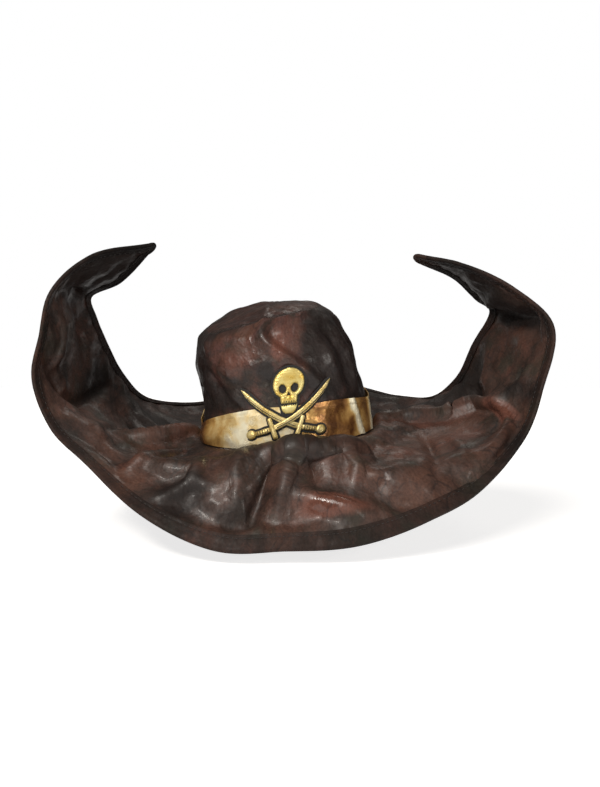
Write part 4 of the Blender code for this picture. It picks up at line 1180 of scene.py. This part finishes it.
def band_row(turns, height):
    """One row of the gold band: places, cloth places and tone, with its painted highlight and painted
    reflections.
    """
    degrees, level = np.degrees(turns), height / BAND_TOP
    top = BAND_TOP + 0 * turns
    for at, wide, deep in BAND_DIPS:
        top = top - deep * bell(degrees, at, wide)
    v = level * top / 139
    past = turns - PLEAT_TURN - PLEAT_LEAN * level
    past_end = turns - END_TURN - END_LEAN * level
    across = np.column_stack([turns * 0.1, v * CROWN_SLANT, 0 * turns])
    calm = 1 - 0.9 * bell(degrees, -88, 40, 6)
    out = 1.7 + 3.4 * bell(past, 0, math.radians(1.8), 1.5)
    out = out - 0.5 * bell(past, math.radians(3.6), math.radians(1.6))
    out = out + 2.6 * bell(past_end, 0, math.radians(1.6), 1.5)
    out = out + 3.0 * bell(degrees, -140, 30) * math.sin(math.pi * min(1.0, height / 40))
    out = out + (0.45 if height > 39 else 0.0) - (0.35 if height == BAND_SEAM else 0.0)
    out = out + 5.0 * calm * np.clip(crumple(across * (1, 1.3, 1), 22, 4.0) - 0.28, 0, 1)
    out = np.minimum(out + 0.5 * soft_noise(across, 45, 6.0), 2.2 + 6 * calm)
    place = crown_place(turns, v, np.clip(out, 1.5, 7.5) * MM)
    wave = 1.2 * MM * soft_noise(np.column_stack([turns * 2, 0 * turns, 0 * turns]), 1.0, 8.0)
    place[:, 2] += wave * (1 if height > 30 else 0.3)
    # Painted highlight on the pleat's left face, brighter tone on the fold at the band's end, and
    # painted reflections round the band.
    tone = 1.9 * bell(past, math.radians(-1.2), math.radians(2.6))
    tone = tone + 1.4 * bell(past_end, 0, math.radians(2.2))
    for at, wide, value in BAND_REFLECTIONS:
        tone += value * bell(degrees, at, wide)
    return place, across, tone


def gold_band(look):
    """The gold foil band, with its folded hem, soft creases and one upright tuck."""
    turns = np.arange(BAND_COLUMNS) * 2 * math.pi / BAND_COLUMNS - math.pi
    rows, cloth, tones = zip(*[band_row(turns, height) for height in BAND_ROWS])
    cloth, tones = np.vstack(cloth), np.concatenate(tones)
    band = ring_sheet("look_hat_band", rows, 1, look, 0.7 * MM, cloth, tones)
    on_hat(band, "hat_band")


# ---- emblem ----

SKULL_X, SKULL_H = 3 * MM, 68 * MM
SKULL_RADIUS = 17 * MM
SKULL_STRETCH = 0.93
CUTLASS_TIP = (-50 * MM, 66 * MM)
CUTLASS_POMMEL = (43 * MM, 16 * MM)
CUTLASS_SAG = 9 * MM
EMBLEM_GRAIN = 1.1 * MM


def on_crown(x, h, out):
    """Places of emblem drawing points on the front of the crown."""
    lean = ring_values(h / CROWN_SLANT)[0]
    turn = -math.pi / 2 + (x - lean) / OPENING[0]
    v = h / CROWN_SLANT
    return crown_place(turn, v, out) + crown_move(turn, v)


def inside_outline(x, h, outline):
    """Whether each point lies inside a closed outline."""
    found = np.zeros(len(x), bool)
    for (x0, h0), (x1, h1) in zip(outline, outline[1:] + outline[:1]):
        if h0 == h1:
            continue
        crosses = (h0 > h) != (h1 > h)
        at = x0 + (h - h0) * (x1 - x0) / (h1 - h0)
        found ^= crosses & (x < at)
    return found


def outline_distance(x, h, outlines):
    """Distance from each point to the nearest outline."""
    best = np.full(len(x), 9.0)
    for outline in outlines:
        for start, end in zip(outline, outline[1:] + outline[:1]):
            start, end = np.array(start), np.array(end)
            length = np.linalg.norm(end - start)
            if length < 1e-9:
                continue
            way = (end - start) / length
            t = np.clip((x - start[0]) * way[0] + (h - start[1]) * way[1], 0, length)
            best = np.minimum(best, np.hypot(x - start[0] - t * way[0], h - start[1] - t * way[1]))
    return best


def even_outline(outline, step):
    """An outline with points at most a step apart."""
    made = []
    for start, end in zip(outline, outline[1:] + outline[:1]):
        start, end = np.array(start), np.array(end)
        count = max(1, int(np.ceil(np.linalg.norm(end - start) / step)))
        made += [tuple(start + (end - start) * k / count) for k in range(count)]
    return made


def relief(name, outline, rises, look, holes=(), detail=None, grain=EMBLEM_GRAIN):
    """A raised applique. Its rises in millimetres are its base's over the crown, its edge's and
    its middle's over the base, and the width of the slope between those two."""
    base, edge, middle, swell = (rise * MM for rise in rises)
    loops = [even_outline(loop, grain * 1.2) for loop in [outline, *holes]]
    border = np.array([p for loop in loops for p in loop])
    low, high = border.min(0), border.max(0)
    xs, hs = np.meshgrid(np.arange(low[0], high[0], grain), np.arange(low[1], high[1], grain))
    xs[1::2] += grain / 2
    xs, hs = xs.ravel(), hs.ravel()
    keep = inside_outline(xs, hs, loops[0]) & (outline_distance(xs, hs, loops) > grain * 0.55)
    for hole in loops[1:]:
        keep &= ~inside_outline(xs, hs, hole)
    points = np.vstack([border, np.column_stack([xs[keep], hs[keep]])])
    edges, start = [], 0
    for loop in loops:
        edges += [(start + k, start + (k + 1) % len(loop)) for k in range(len(loop))]
        start += len(loop)
    verts, _, faces, _, _, _ = delaunay_2d_cdt([Vector(p) for p in points], edges, [], 0, 1e-7)
    verts = np.array([tuple(v) for v in verts])
    centre = verts[np.array([list(f) for f in faces])].mean(1)
    real = inside_outline(centre[:, 0], centre[:, 1], loops[0])
    for hole in loops[1:]:
        real &= ~inside_outline(centre[:, 0], centre[:, 1], hole)
    faces = [tuple(f) for f, keep in zip(faces, real) if keep]
    x, h = verts.T
    deep = np.clip(outline_distance(x, h, loops) / swell, 0, 1)
    rise = edge + (middle - edge) * np.sqrt(1 - (1 - deep) ** 2)
    if detail:
        rise = rise + detail(x, h)
    top = on_crown(x, h, base + rise)
    bottom = on_crown(x, h, np.full(len(x), base))
    count = len(top)
    probe = vertex_normals(top, faces)
    if probe[:, 1].mean() > 0:
        faces = [f[::-1] for f in faces]
    solid = faces + [tuple(i + count for i in f[::-1]) for f in faces]
    for first, last in open_border(faces):
        solid.append((last, first, first + count, last + count))
    used, solid = part_of(solid, [True] * len(solid))
    return finished(name, np.vstack([top, bottom])[used], solid, look)


def skull_outline(grow):
    """The cranium with its cheeks and upper jaw."""
    outline = []
    for i in range(27):
        turn = math.radians(-38 + 256 * i / 26)
        reach = SKULL_RADIUS + grow
        high = reach * SKULL_STRETCH * math.sin(turn)
        outline.append((SKULL_X + reach * math.cos(turn), SKULL_H + high))
    jaw, low = 9 * MM + grow, SKULL_H - 19.5 * MM - grow
    outline += [(SKULL_X - jaw * 1.04, SKULL_H - 12.5 * MM), (SKULL_X - jaw, SKULL_H - 16 * MM)]
    outline += [(SKULL_X - jaw * 0.9, low), (SKULL_X + jaw * 0.9, low)]
    outline += [(SKULL_X + jaw, SKULL_H - 16 * MM), (SKULL_X + jaw * 1.04, SKULL_H - 12.5 * MM)]
    return outline


def oval(x, h, half_width, half_height, tilt=0.0, count=16):
    """An oval outline, leaning by tilt."""
    made = []
    lean, straight = math.sin(tilt), math.cos(tilt)
    for i in range(count):
        turn = 2 * math.pi * i / count
        u, w = half_width * math.cos(turn), half_height * math.sin(turn)
        made.append((x + u * straight - w * lean, h + u * lean + w * straight))
    return made


def jaw_outline(grow):
    """The lower jaw."""
    top, low, half = SKULL_H - 21 * MM + grow, SKULL_H - 30 * MM - grow, 8.5 * MM + grow
    left = [(-half, top), (-half * 0.93, top - 4 * MM)]
    left += [(-half * 0.75, low + 2 * MM), (-half * 0.4, low)]
    outline = [(SKULL_X + x, h) for x, h in left]
    outline += [(SKULL_X - x, h) for x, h in left[::-1]]
    if grow:
        return outline
    for k in range(6, -7, -1):
        notch = (0.2 if k % 2 else 1.7) * MM
        outline.append((SKULL_X + half * 0.85 * k / 6, top - notch))
    return outline


def cutlass_line(share, mirrored):
    """Centre line of a cutlass and its side way at a share of its length."""
    tip, pommel = np.array(CUTLASS_TIP), np.array(CUTLASS_POMMEL)
    chord = pommel - tip
    left = np.array([-chord[1], chord[0]]) / np.linalg.norm(chord)
    at = tip + chord * share - left * CUTLASS_SAG * 4 * share * (1 - share)
    ahead = chord - left * CUTLASS_SAG * 4 * (1 - 2 * share)
    ahead /= np.linalg.norm(ahead)
    side = np.array([-ahead[1], ahead[0]])
    if mirrored:
        return at * (-1, 1), side * (-1, 1)
    return at, side


def cutlass_shape(profile, mirrored):
    """Outline through (share, low half width, high half width) in millimetres."""
    low, high = [], []
    for share, under, over in profile:
        at, side = cutlass_line(share, mirrored)
        low.append(tuple(at - side * (under * MM)))
        high.append(tuple(at + side * (over * MM)))
    return low + high[::-1]


BLADE = (
    (-0.004, 0.1, 0.1), (0.03, 0.7, 1.6), (0.07, 1.5, 2.6), (0.14, 2.3, 3.0), (0.3, 2.9, 3.0),
    (0.5, 3.1, 3.0), (0.68, 3.0, 2.9), (0.715, 2.9, 2.8),
)
GUARD = ((0.705, 10.5, 10.5), (0.713, 12.0, 12.0), (0.742, 12.0, 12.0), (0.75, 10.5, 10.5))
FELT_GUARD = ((0.688, 11.5, 11.5), (0.70, 14, 14), (0.755, 14, 14), (0.768, 11.5, 11.5))
GRIP = ((0.752, 2.3, 2.3), (0.80, 2.9, 2.9), (0.87, 2.4, 2.4), (0.895, 2.5, 2.5))
POMMEL_SHARE = 0.945
FULLER_LINE = -0.9 * MM
WRAPS = (0.775, 0.80, 0.825, 0.85, 0.875)

EYE_OUT, EYE_DROP = 6.6 * MM, 4.5 * MM
NOSE = ((0, 8.0), (1.0, 9.8), (2.2, 12.2), (0, 11.4), (-2.2, 12.2), (-1.0, 9.8))
TEETH_GAPS = (-5.4, -2.7, 0.0, 2.7, 5.4)
FELT_BORDER, FELT_GRAIN = 2.9 * MM, 2.2 * MM
FELT_RISES = (2.6, 0.7, 0.9, 2)


def thread(name, paths, radius, base, look):
    """Raised satin stitch lines along drawn paths."""
    points, faces = [], []
    for path in paths:
        path = np.array(path)
        span = np.concatenate([[0], np.cumsum(np.linalg.norm(np.diff(path, axis=0), axis=1))])
        count = max(3, int(span[-1] / (1.1 * MM)))
        along = np.linspace(0, span[-1], count)
        x, h = np.interp(along, span, path[:, 0]), np.interp(along, span, path[:, 1])
        places = on_crown(x, h, np.full(count, base))
        higher = on_crown(x, h, np.full(count, base + MM))
        rise = unit(higher - places)
        way = unit(np.gradient(places, axis=0))
        side = unit(np.cross(way, rise))
        first = len(points)
        for k in range(count):
            small = 0.35 if k in (0, count - 1) else 1.0
            for turn in range(6):
                around = 2 * math.pi * turn / 6
                spot = side[k] * math.cos(around) * small + rise[k] * math.sin(around) * 0.8 * small
                points.append(places[k] + spot * radius)
        faces += grid_faces(count, 6, closed=True, first=first)
        faces.append(tuple(first + k for k in range(6)))
        faces.append(tuple(first + (count - 1) * 6 + k for k in range(6))[::-1])
    return finished(name, np.array(points), [f[::-1] for f in faces], look)


def brow(x, h):
    """Ridges round the eyes, and fine rows of stitches."""
    ridge = np.zeros(len(x))
    for side in (-1, 1):
        gap = np.hypot(x - SKULL_X - side * EYE_OUT, (h - SKULL_H + EYE_DROP) * 0.9)
        ridge += 0.45 * MM * bell(gap, 5.6 * MM, 1.4 * MM)
    return ridge + 0.12 * MM * np.sin(h * 9000)


def skull(felt_look, skull_look, thread_look):
    """The skull and its jaw in raised satin over felt, with black lines between the teeth."""
    for label, outline, node in (
        ("", skull_outline(FELT_BORDER), "emblem_backing"),
        ("_jaw", jaw_outline(FELT_BORDER), None),
    ):
        name = "look_emblem_backing" + label
        on_hat(relief(name, outline, FELT_RISES, felt_look, grain=FELT_GRAIN), node)
    eyes = [
        oval(SKULL_X + s * EYE_OUT, SKULL_H - EYE_DROP, 4.0 * MM, 4.6 * MM, -0.35 * s)
        for s in (-1, 1)
    ]
    nose = [(SKULL_X + x * MM, SKULL_H - drop * MM) for x, drop in NOSE]
    cranium = relief(
        "look_emblem_skull", skull_outline(0.0), (3.6, 0.5, 2.6, 8), skull_look, [*eyes, nose],
        brow, 0.9 * MM,
    )
    on_hat(cranium, "emblem_skull")
    jaw = relief("look_emblem_jaw", jaw_outline(0.0), (3.6, 0.5, 1.7, 4), skull_look)
    on_hat(jaw, "emblem_jaw")
    top, low = SKULL_H - 15.4 * MM, SKULL_H - 19.3 * MM
    lines = [[(SKULL_X + x * MM, top), (SKULL_X + x * 0.95 * MM, low)] for x in TEETH_GAPS]
    on_hat(thread("look_emblem_teeth_lines", lines, 0.5 * MM, 5.4 * MM, thread_look))


def cutlass(order, side, felt_look, gold_look, thread_look):
    """One cutlass in raised gold over felt, with its fuller and its grip's wraps in black."""
    mirrored = side == "right"
    base, felt_base = 3.6 + 1.3 * order, 2.4 + 0.35 * order
    pommel_at, _ = cutlass_line(POMMEL_SHARE, mirrored)
    name = f"look_emblem_cutlass_{side}"

    def fuller(x, h):
        """The groove along the blade."""
        dip = np.zeros(len(x))
        for share in np.linspace(0.12, 0.7, 60):
            at, _ = cutlass_line(share, mirrored)
            dip = np.maximum(dip, bell(np.hypot(x - at[0], h - at[1]), 0, 0.9 * MM))
        return -0.45 * MM * dip

    blade = relief(
        name, cutlass_shape(BLADE, mirrored), (base, 0.4, 1.3, 2.6), gold_look, (), fuller,
        0.8 * MM,
    )
    on_hat(blade, f"emblem_cutlass_{side}")
    for label, outline, rises in (
        ("guard", cutlass_shape(GUARD, mirrored), (base + 0.4, 0.4, 1.5, 1.8)),
        ("grip", cutlass_shape(GRIP, mirrored), (base, 0.4, 1.6, 2)),
        ("pommel", oval(*pommel_at, 5.4 * MM, 5.0 * MM), (base, 0.4, 2.2, 4)),
    ):
        on_hat(relief(f"{name}_{label}", outline, rises, gold_look))
    wide_blade = [(-0.025, 0.6, 0.6), *[(s, u + 2.3, o + 2.3) for s, u, o in BLADE[1:]]]
    wide_grip = [(s, u + 2.4, o + 2.4) for s, u, o in GRIP]
    for label, outline in (
        ("blade", cutlass_shape(wide_blade, mirrored)),
        ("guard", cutlass_shape(FELT_GUARD, mirrored)),
        ("grip", cutlass_shape(wide_grip, mirrored)),
        ("pommel", oval(*pommel_at, 7.3 * MM, 6.9 * MM)),
    ):
        backing, rises = f"look_emblem_backing_{side}_{label}", (felt_base, 0.7, 1.0, 2)
        on_hat(relief(backing, outline, rises, felt_look, grain=FELT_GRAIN))
    wraps = []
    for share in WRAPS:
        at, across = cutlass_line(share, mirrored)
        wraps.append([tuple(at - across * 2.6 * MM), tuple(at + across * 2.6 * MM)])
    line = []
    for share in np.linspace(0.1, 0.69, 24):
        at, across = cutlass_line(share, mirrored)
        line.append(tuple(at + across * FULLER_LINE))
    for label, paths, radius, rise in (("lines", wraps, 0.4, 1.6), ("fuller", [line], 0.45, 1.2)):
        made = f"look_emblem_{label}_{side}"
        on_hat(thread(made, paths, radius * MM, (base + rise) * MM, thread_look))


def emblem(felt_look, gold_look, skull_look, thread_look):
    """Skull, jaw and crossed cutlasses in raised gold over black felt."""
    skull(felt_look, skull_look, thread_look)
    for order, side in enumerate(("left", "right")):
        cutlass(order, side, felt_look, gold_look, thread_look)


# ---- materials ----


class Graph:
    """A material's nodes."""

    def __init__(self, name):
        self.material = bpy.data.materials.new(name)
        self.material.use_nodes = True
        self.tree = self.material.node_tree
        self.shader = self.tree.nodes["Principled BSDF"]

    def add(self, kind, sockets=None, **settings):
        """A node with its settings, and its sockets linked or set."""
        made = self.tree.nodes.new("ShaderNode" + kind)
        for key, value in settings.items():
            setattr(made, key, value)
        for key, value in (sockets or {}).items():
            self.put(made.inputs[key], value)
        return made

    def put(self, socket, value):
        """Links or sets one socket."""
        if isinstance(value, bpy.types.NodeSocket):
            self.tree.links.new(value, socket)
        else:
            socket.default_value = value

    def cloth(self):
        """The place in the cut pattern, which stays with the cloth when it bends."""
        return self.add("Attribute", attribute_name="cloth").outputs["Vector"]

    def object_place(self):
        """The place in the object."""
        return self.add("TexCoord").outputs["Object"]

    def tone(self):
        """The tone: dye, painted shade and painted highlights on the leather, painted highlights and
        reflections on the gold band.
        """
        return self.add("Attribute", attribute_name="tone").outputs["Fac"]

    def waves(self, vector, scale, distortion, way):
        """Bands between 0 and 1."""
        sockets = {"Vector": vector, "Scale": scale, "Distortion": distortion}
        return self.add("TexWave", sockets, bands_direction=way).outputs[1]

    def noise(self, vector, scale, detail=4.0, roughness=0.55, distortion=0.0):
        """Noise between 0 and 1."""
        return self.add("TexNoise", {
            "Vector": vector, "Scale": scale, "Detail": detail, "Roughness": roughness,
            "Distortion": distortion,
        }).outputs[0]

    def cells(self, vector, scale, feature="F1"):
        """Distances of cells."""
        made = self.add("TexVoronoi", {"Vector": vector, "Scale": scale}, feature=feature)
        return made.outputs["Distance"]

    def moved(self, vector, amount, scale):
        """A vector disturbed by noise."""
        wobble = self.add("TexNoise", {"Vector": vector, "Scale": scale, "Detail": 3.0}).outputs[1]
        wide = self.add("VectorMath", {0: wobble, 1: (amount,) * 3}, operation="MULTIPLY")
        return self.add("VectorMath", {0: vector, 1: wide.outputs[0]}, operation="ADD").outputs[0]

    def ramp(self, factor, *stops):
        """Values or colours at stops."""
        made = self.add("ValToRGB", {0: factor})
        marks = made.color_ramp.elements
        while len(marks) < len(stops):
            marks.new(0.5)
        for mark, (at, colour) in zip(marks, stops):
            mark.position = at
            mark.color = (*colour, 1.0) if hasattr(colour, "__len__") else (colour,) * 3 + (1.0,)
        return made.outputs[0]

    def mix(self, factor, first, second, how="MIX"):
        """Two colours mixed."""
        made = self.add("Mix", data_type="RGBA", blend_type=how)
        self.put(made.inputs[0], factor)
        for socket, value in ((made.inputs[6], first), (made.inputs[7], second)):
            if not isinstance(value, bpy.types.NodeSocket) and len(value) == 3:
                value = (*value, 1.0)
            self.put(socket, value)
        return made.outputs[2]

    def math(self, how, first, second, third=None):
        """One sum."""
        sockets = {0: first, 1: second}
        if third is not None:
            sockets[2] = third
        return self.add("Math", sockets, operation=how).outputs[0]

    def bump(self, height, strength, distance, below=None):
        """A bump, over another one."""
        sockets = {"Height": height, "Strength": strength, "Distance": distance}
        if below is not None:
            sockets["Normal"] = below
        return self.add("Bump", sockets).outputs[0]

    def finish(self, **sockets):
        """Sets the shader's sockets."""
        for key, value in sockets.items():
            self.put(self.shader.inputs[key.replace("_", " ")], value)
        return self.material


def leather(name, tint, dark=1.0, gloss=0.0):
    """Distressed faux leather: mottled browns with black veins and patches, crumpled and grained; the
    tone adds dye, painted shade and painted highlights.
    """
    g = Graph(name)
    place = g.cloth()
    tone = g.tone()
    bent = g.moved(place, 0.012, 22.0)
    clouds = g.noise(bent, 17.0, 6.0, 0.62, 0.5)
    base = g.ramp(clouds, (0.30, (0.012, 0.008, 0.007)), (0.42, (0.030, 0.017, 0.012)),
                  (0.52, tint), (0.66, (0.092, 0.042, 0.028)), (0.80, (0.060, 0.032, 0.023)))
    green = g.ramp(g.noise(bent, 29.0, 5.0, 0.6), (0.52, 0.0), (0.66, 0.75))
    base = g.mix(green, base, (0.030, 0.026, 0.018))
    red = g.ramp(g.noise(g.moved(place, 0.02, 9.0), 41.0, 5.0, 0.65), (0.55, 0.0), (0.70, 0.6))
    base = g.mix(red, base, (0.110, 0.044, 0.030))
    ragged = g.math("MULTIPLY_ADD", g.noise(bent, 55.0, 6.0, 0.65), 0.9, -0.45)
    # The tone adds dye patches, painted shade towards black and painted highlights towards light red.
    shade = g.math("ADD", tone, ragged)
    base = g.mix(g.ramp(shade, (0.22, 0.0), (0.75, 0.75)), base, (0.150, 0.058, 0.040))
    dark_share = g.math("MULTIPLY", shade, -1.0)
    base = g.mix(g.ramp(dark_share, (0.10, 0.0), (0.55, 0.92)), base, (0.0105, 0.0064, 0.0054))
    cracked = g.cells(g.moved(place, 0.016, 60.0), 48.0, "DISTANCE_TO_EDGE")
    veins = g.ramp(cracked, (0.0, 1.0), (0.06, 0.0))
    worn = g.math("MULTIPLY", veins, g.ramp(g.noise(place, 24.0, 3.0), (0.45, 0.0), (0.6, 0.6)))
    base = g.mix(worn, base, (0.008, 0.006, 0.006))
    speck = g.ramp(g.noise(place, 420.0, 4.0, 0.7), (0.35, 0.7), (0.65, 1.2))
    base = g.mix(1.0, base, speck, "MULTIPLY")
    base = g.mix(1.0, base, (dark, dark, dark), "MULTIPLY")
    rough = g.ramp(
        g.noise(bent, 65.0, 5.0, 0.7), (0.30, 0.36 - gloss), (0.48, 0.54 - gloss),
        (0.75, 0.70 - gloss),
    )
    rough = g.math("MULTIPLY", rough, g.ramp(dark_share, (0.10, 1.0), (0.60, 1.2)))
    rough = g.math("MULTIPLY", rough, g.ramp(g.math("MULTIPLY", tone, 0.5), (0.48, 1.0), (0.72, 0.34)))
    crumpled = g.cells(g.moved(place, 0.010, 70.0), 95.0)
    fine = g.cells(g.moved(place, 0.004, 160.0), 260.0)
    grain = g.noise(place, 1500.0, 3.0, 0.6)
    normal = g.bump(crumpled, 0.65, 1.3 * MM)
    normal = g.bump(fine, 0.45, 0.6 * MM, normal)
    normal = g.bump(grain, 0.30, 0.15 * MM, normal)
    return g.finish(
        Base_Color=base, Roughness=rough, Normal=normal, Specular_IOR_Level=0.34 + gloss,
        Coat_Weight=max(0.0, 0.05 + gloss), Coat_Roughness=0.15,
    )


def gold_foil():
    """Gold foil cloth: bronze where it is rubbed at random, and painted reflections from the tone,
    bright cream where the band would mirror the lamps and bronze where it would mirror dark.
    """
    g = Graph("look_gold_foil")
    place = g.cloth()
    tone = g.tone()
    bent = g.moved(place, 0.010, 30.0)
    rubbed = g.math("MULTIPLY_ADD", g.noise(bent, 42.0, 5.0, 0.6, 0.4), 1.2, -0.2)
    # The tone brings the band's painted reflections and highlights; rubbed adds random wear.
    level = g.math("MULTIPLY_ADD", tone, 0.36, rubbed)
    base = g.ramp(
        level, (0.05, (0.13, 0.050, 0.014)), (0.22, (0.34, 0.16, 0.045)),
        (0.42, (0.66, 0.40, 0.13)), (0.60, (0.90, 0.68, 0.32)), (0.80, (0.98, 0.90, 0.66)),
    )
    rough = g.ramp(g.noise(bent, 60.0, 3.0), (0.3, 0.24), (0.7, 0.40))
    creased = g.cells(g.moved(place, 0.010, 60.0), 60.0)
    weave = g.waves(place, 900.0, 1.0, "X")
    normal = g.bump(creased, 0.6, 2.4 * MM)
    normal = g.bump(weave, 0.10, 0.08 * MM, normal)
    return g.finish(Base_Color=base, Roughness=rough, Normal=normal, Metallic=0.5)


def applique(name, pale, deep):
    """Gold satin applique with stitched relief."""
    g = Graph(name)
    place = g.cloth()
    spots = g.noise(place, 70.0, 4.0)
    base = g.mix(g.ramp(spots, (0.35, 0.0), (0.65, 1.0)), (*deep, 1.0), (*pale, 1.0))
    ribs = g.waves(place, 420.0, 1.5, "Z")
    base = g.mix(g.ramp(ribs, (0.0, 0.0), (0.4, 0.0), (0.55, 0.25)), base, (0.25, 0.14, 0.03))
    normal = g.bump(ribs, 0.35, 0.25 * MM)
    rough = g.ramp(spots, (0.3, 0.25), (0.7, 0.4))
    return g.finish(Base_Color=base, Roughness=rough, Normal=normal, Metallic=0.55)


def woven(name, colour, scale, rough, depth=0.3):
    """A plain woven cloth."""
    g = Graph(name)
    place = g.object_place()
    weave = g.math("MULTIPLY", *(g.waves(place, scale, 0.6, way) for way in ("Z", "DIAGONAL")))
    patches = g.noise(place, 60.0, 4.0)
    base = g.mix(patches, tuple(c * 0.6 for c in colour), tuple(c * 1.5 for c in colour))
    base = g.mix(g.ramp(weave, (0.2, 0.5), (0.7, 0.0)), base, (0.004, 0.004, 0.004))
    normal = g.bump(weave, depth, 0.3 * MM)
    normal = g.bump(g.noise(place, 90.0, 4.0), 0.3, 0.8 * MM, normal)
    return g.finish(Base_Color=base, Roughness=rough, Normal=normal, Sheen_Weight=0.15)


def felt():
    """Black felt with loose fibres."""
    g = Graph("look_black_felt")
    place = g.object_place()
    fibres = g.noise(place, 900.0, 6.0, 0.8, 2.0)
    base = g.ramp(fibres, (0.3, (0.004, 0.004, 0.004)), (0.7, (0.018, 0.017, 0.017)))
    normal = g.bump(fibres, 0.4, 0.4 * MM)
    return g.finish(Base_Color=base, Roughness=0.85, Normal=normal, Sheen_Weight=0.2)


def steel():
    """Drawn steel wire."""
    g = Graph("look_wire_steel")
    place = g.object_place()
    drawn = g.noise(place, 800.0, 3.0)
    base = g.ramp(drawn, (0.3, (0.35, 0.35, 0.36)), (0.7, (0.6, 0.6, 0.62)))
    rough = g.ramp(drawn, (0.3, 0.25), (0.7, 0.45))
    normal = g.bump(drawn, 0.2, 0.1 * MM)
    return g.finish(Base_Color=base, Roughness=rough, Normal=normal, Metallic=1.0)


def floor_paint():
    """Pale studio floor."""
    g = Graph("look_floor")
    spots = g.noise(g.object_place(), 3.0, 2.0)
    return g.finish(
        Base_Color=g.ramp(spots, (0.3, 0.56), (0.7, 0.60)), Roughness=0.95,
        Emission_Color=(1.0, 1.0, 1.0, 1.0), Emission_Strength=0.76,
    )


# ---- studio ----


FLOOR_SIZE, FLOOR_GAP = 1.1, 12 * MM
WARM_WHITE = (1.0, 0.94, 0.88, 1.0)
LAMP_AIM = Vector((0.0, 0.0, 0.03))
CAMERA_TARGET, CAMERA_FAR = Vector((0.0144, 0.0, 0.0454)), 2.0
CAMERA_BELOW = math.radians(8)

# Lamps: name, place, width, height and power.
LAMPS = (
    ("key", (-0.9, -1.4, 1.3), 0.28, 0.24, 16.0),
    ("fill", (1.4, -1.3, 0.6), 0.25, 0.50, 7.0),
    ("rim", (0.3, 1.6, 1.6), 0.8, 0.4, 4.0),
)


def turned(item, way):
    """Turns a lamp or a camera to look along a way."""
    item.rotation_euler = way.to_track_quat("-Z", "Y").to_euler()


def backdrop():
    """Pale floor, and a white background that lights the hat only softly."""
    low, size = cad_box[0].z - FLOOR_GAP, FLOOR_SIZE
    corners = [(-size, -size, low), (size, -size, low), (size, size, low), (-size, size, low)]
    finished("studio_floor", np.array(corners), [(0, 1, 2, 3)], floor_paint())
    world = bpy.data.worlds.new("studio")
    bpy.context.scene.world = world
    world.use_nodes = True
    nodes, links = world.node_tree.nodes, world.node_tree.links
    soft, white = nodes["Background"], nodes.new("ShaderNodeBackground")
    for node, colour, power in ((soft, WARM_WHITE, 0.10), (white, (1.0, 1.0, 1.0, 1.0), 1.0)):
        node.inputs[0].default_value = colour
        node.inputs[1].default_value = power
    seen = nodes.new("ShaderNodeLightPath")
    both = nodes.new("ShaderNodeMixShader")
    links.new(seen.outputs["Is Camera Ray"], both.inputs[0])
    links.new(soft.outputs[0], both.inputs[1])
    links.new(white.outputs[0], both.inputs[2])
    links.new(both.outputs[0], nodes["World Output"].inputs[0])


def lamps():
    """Three area lamps and a soft sky from above."""
    for name, place, width, height, power in LAMPS:
        light = bpy.data.lights.new(name, "AREA")
        light.shape = "RECTANGLE"
        light.size, light.size_y, light.energy = width, height, power
        light.color = (1.0, 0.95, 0.88)
        lamp = linked(name, light)
        lamp.location = place
        turned(lamp, LAMP_AIM - lamp.location)
    sky = bpy.data.lights.new("sky", "SUN")
    sky.energy, sky.angle = 1.9, math.radians(30)
    sky.color = (1.0, 0.95, 0.89)
    turned(linked("sky", sky), Vector((0.35, 0.75, -1.0)))


def studio():
    """Floor, background, lamps and camera."""
    backdrop()
    lamps()
    lens = bpy.data.cameras.new("camera")
    lens.sensor_fit = "HORIZONTAL"
    lens.sensor_width = 36.0
    lens.lens = 108.0
    lens.clip_start, lens.clip_end = 0.05, 50.0
    camera = linked("camera", lens)
    way = Vector((0.0, math.cos(CAMERA_BELOW), -math.sin(CAMERA_BELOW)))
    camera.location = CAMERA_TARGET - CAMERA_FAR * way
    turned(camera, CAMERA_TARGET - camera.location)
    bpy.context.scene.camera = camera
    bpy.context.scene.view_settings.view_transform = "Standard"


def build():
    """Makes every visible piece."""
    upper = leather("look_brim_leather", (0.060, 0.030, 0.022), 0.92, 0.02)
    under = leather("look_under_leather", (0.050, 0.026, 0.021), 0.85)
    side = leather("look_crown_leather", (0.075, 0.031, 0.025), 0.95, 0.08)
    # The hem's leather is a much darker copy of the brim's: painted shade on the hem, which faces up
    # into the lamps.
    edge = leather("look_hem_leather", (0.050, 0.026, 0.020), 0.48, -0.12)
    steel_look = steel()
    brim_layers(brim_surface(), upper, under)
    hem(edge, woven("look_thread", (0.02, 0.012, 0.01), 2200.0, 0.6), steel_look)
    crown(side)
    inside(
        woven("look_lining", (0.02, 0.019, 0.02), 1300.0, 0.75),
        woven("look_sweatband", (0.03, 0.028, 0.027), 700.0, 0.8, 0.6),
    )
    gold_band(gold_foil())
    emblem(
        felt(),
        applique("look_gold_applique", (0.88, 0.74, 0.36), (0.60, 0.43, 0.13)),
        applique("look_skull_applique", (0.90, 0.80, 0.34), (0.74, 0.50, 0.10)),
        woven("look_black_thread", (0.006, 0.006, 0.006), 2500.0, 0.5),
    )
    for slot in frame["nodes"]["wire_sleeve"].material_slots:
        slot.material = steel_look
    studio()


build()
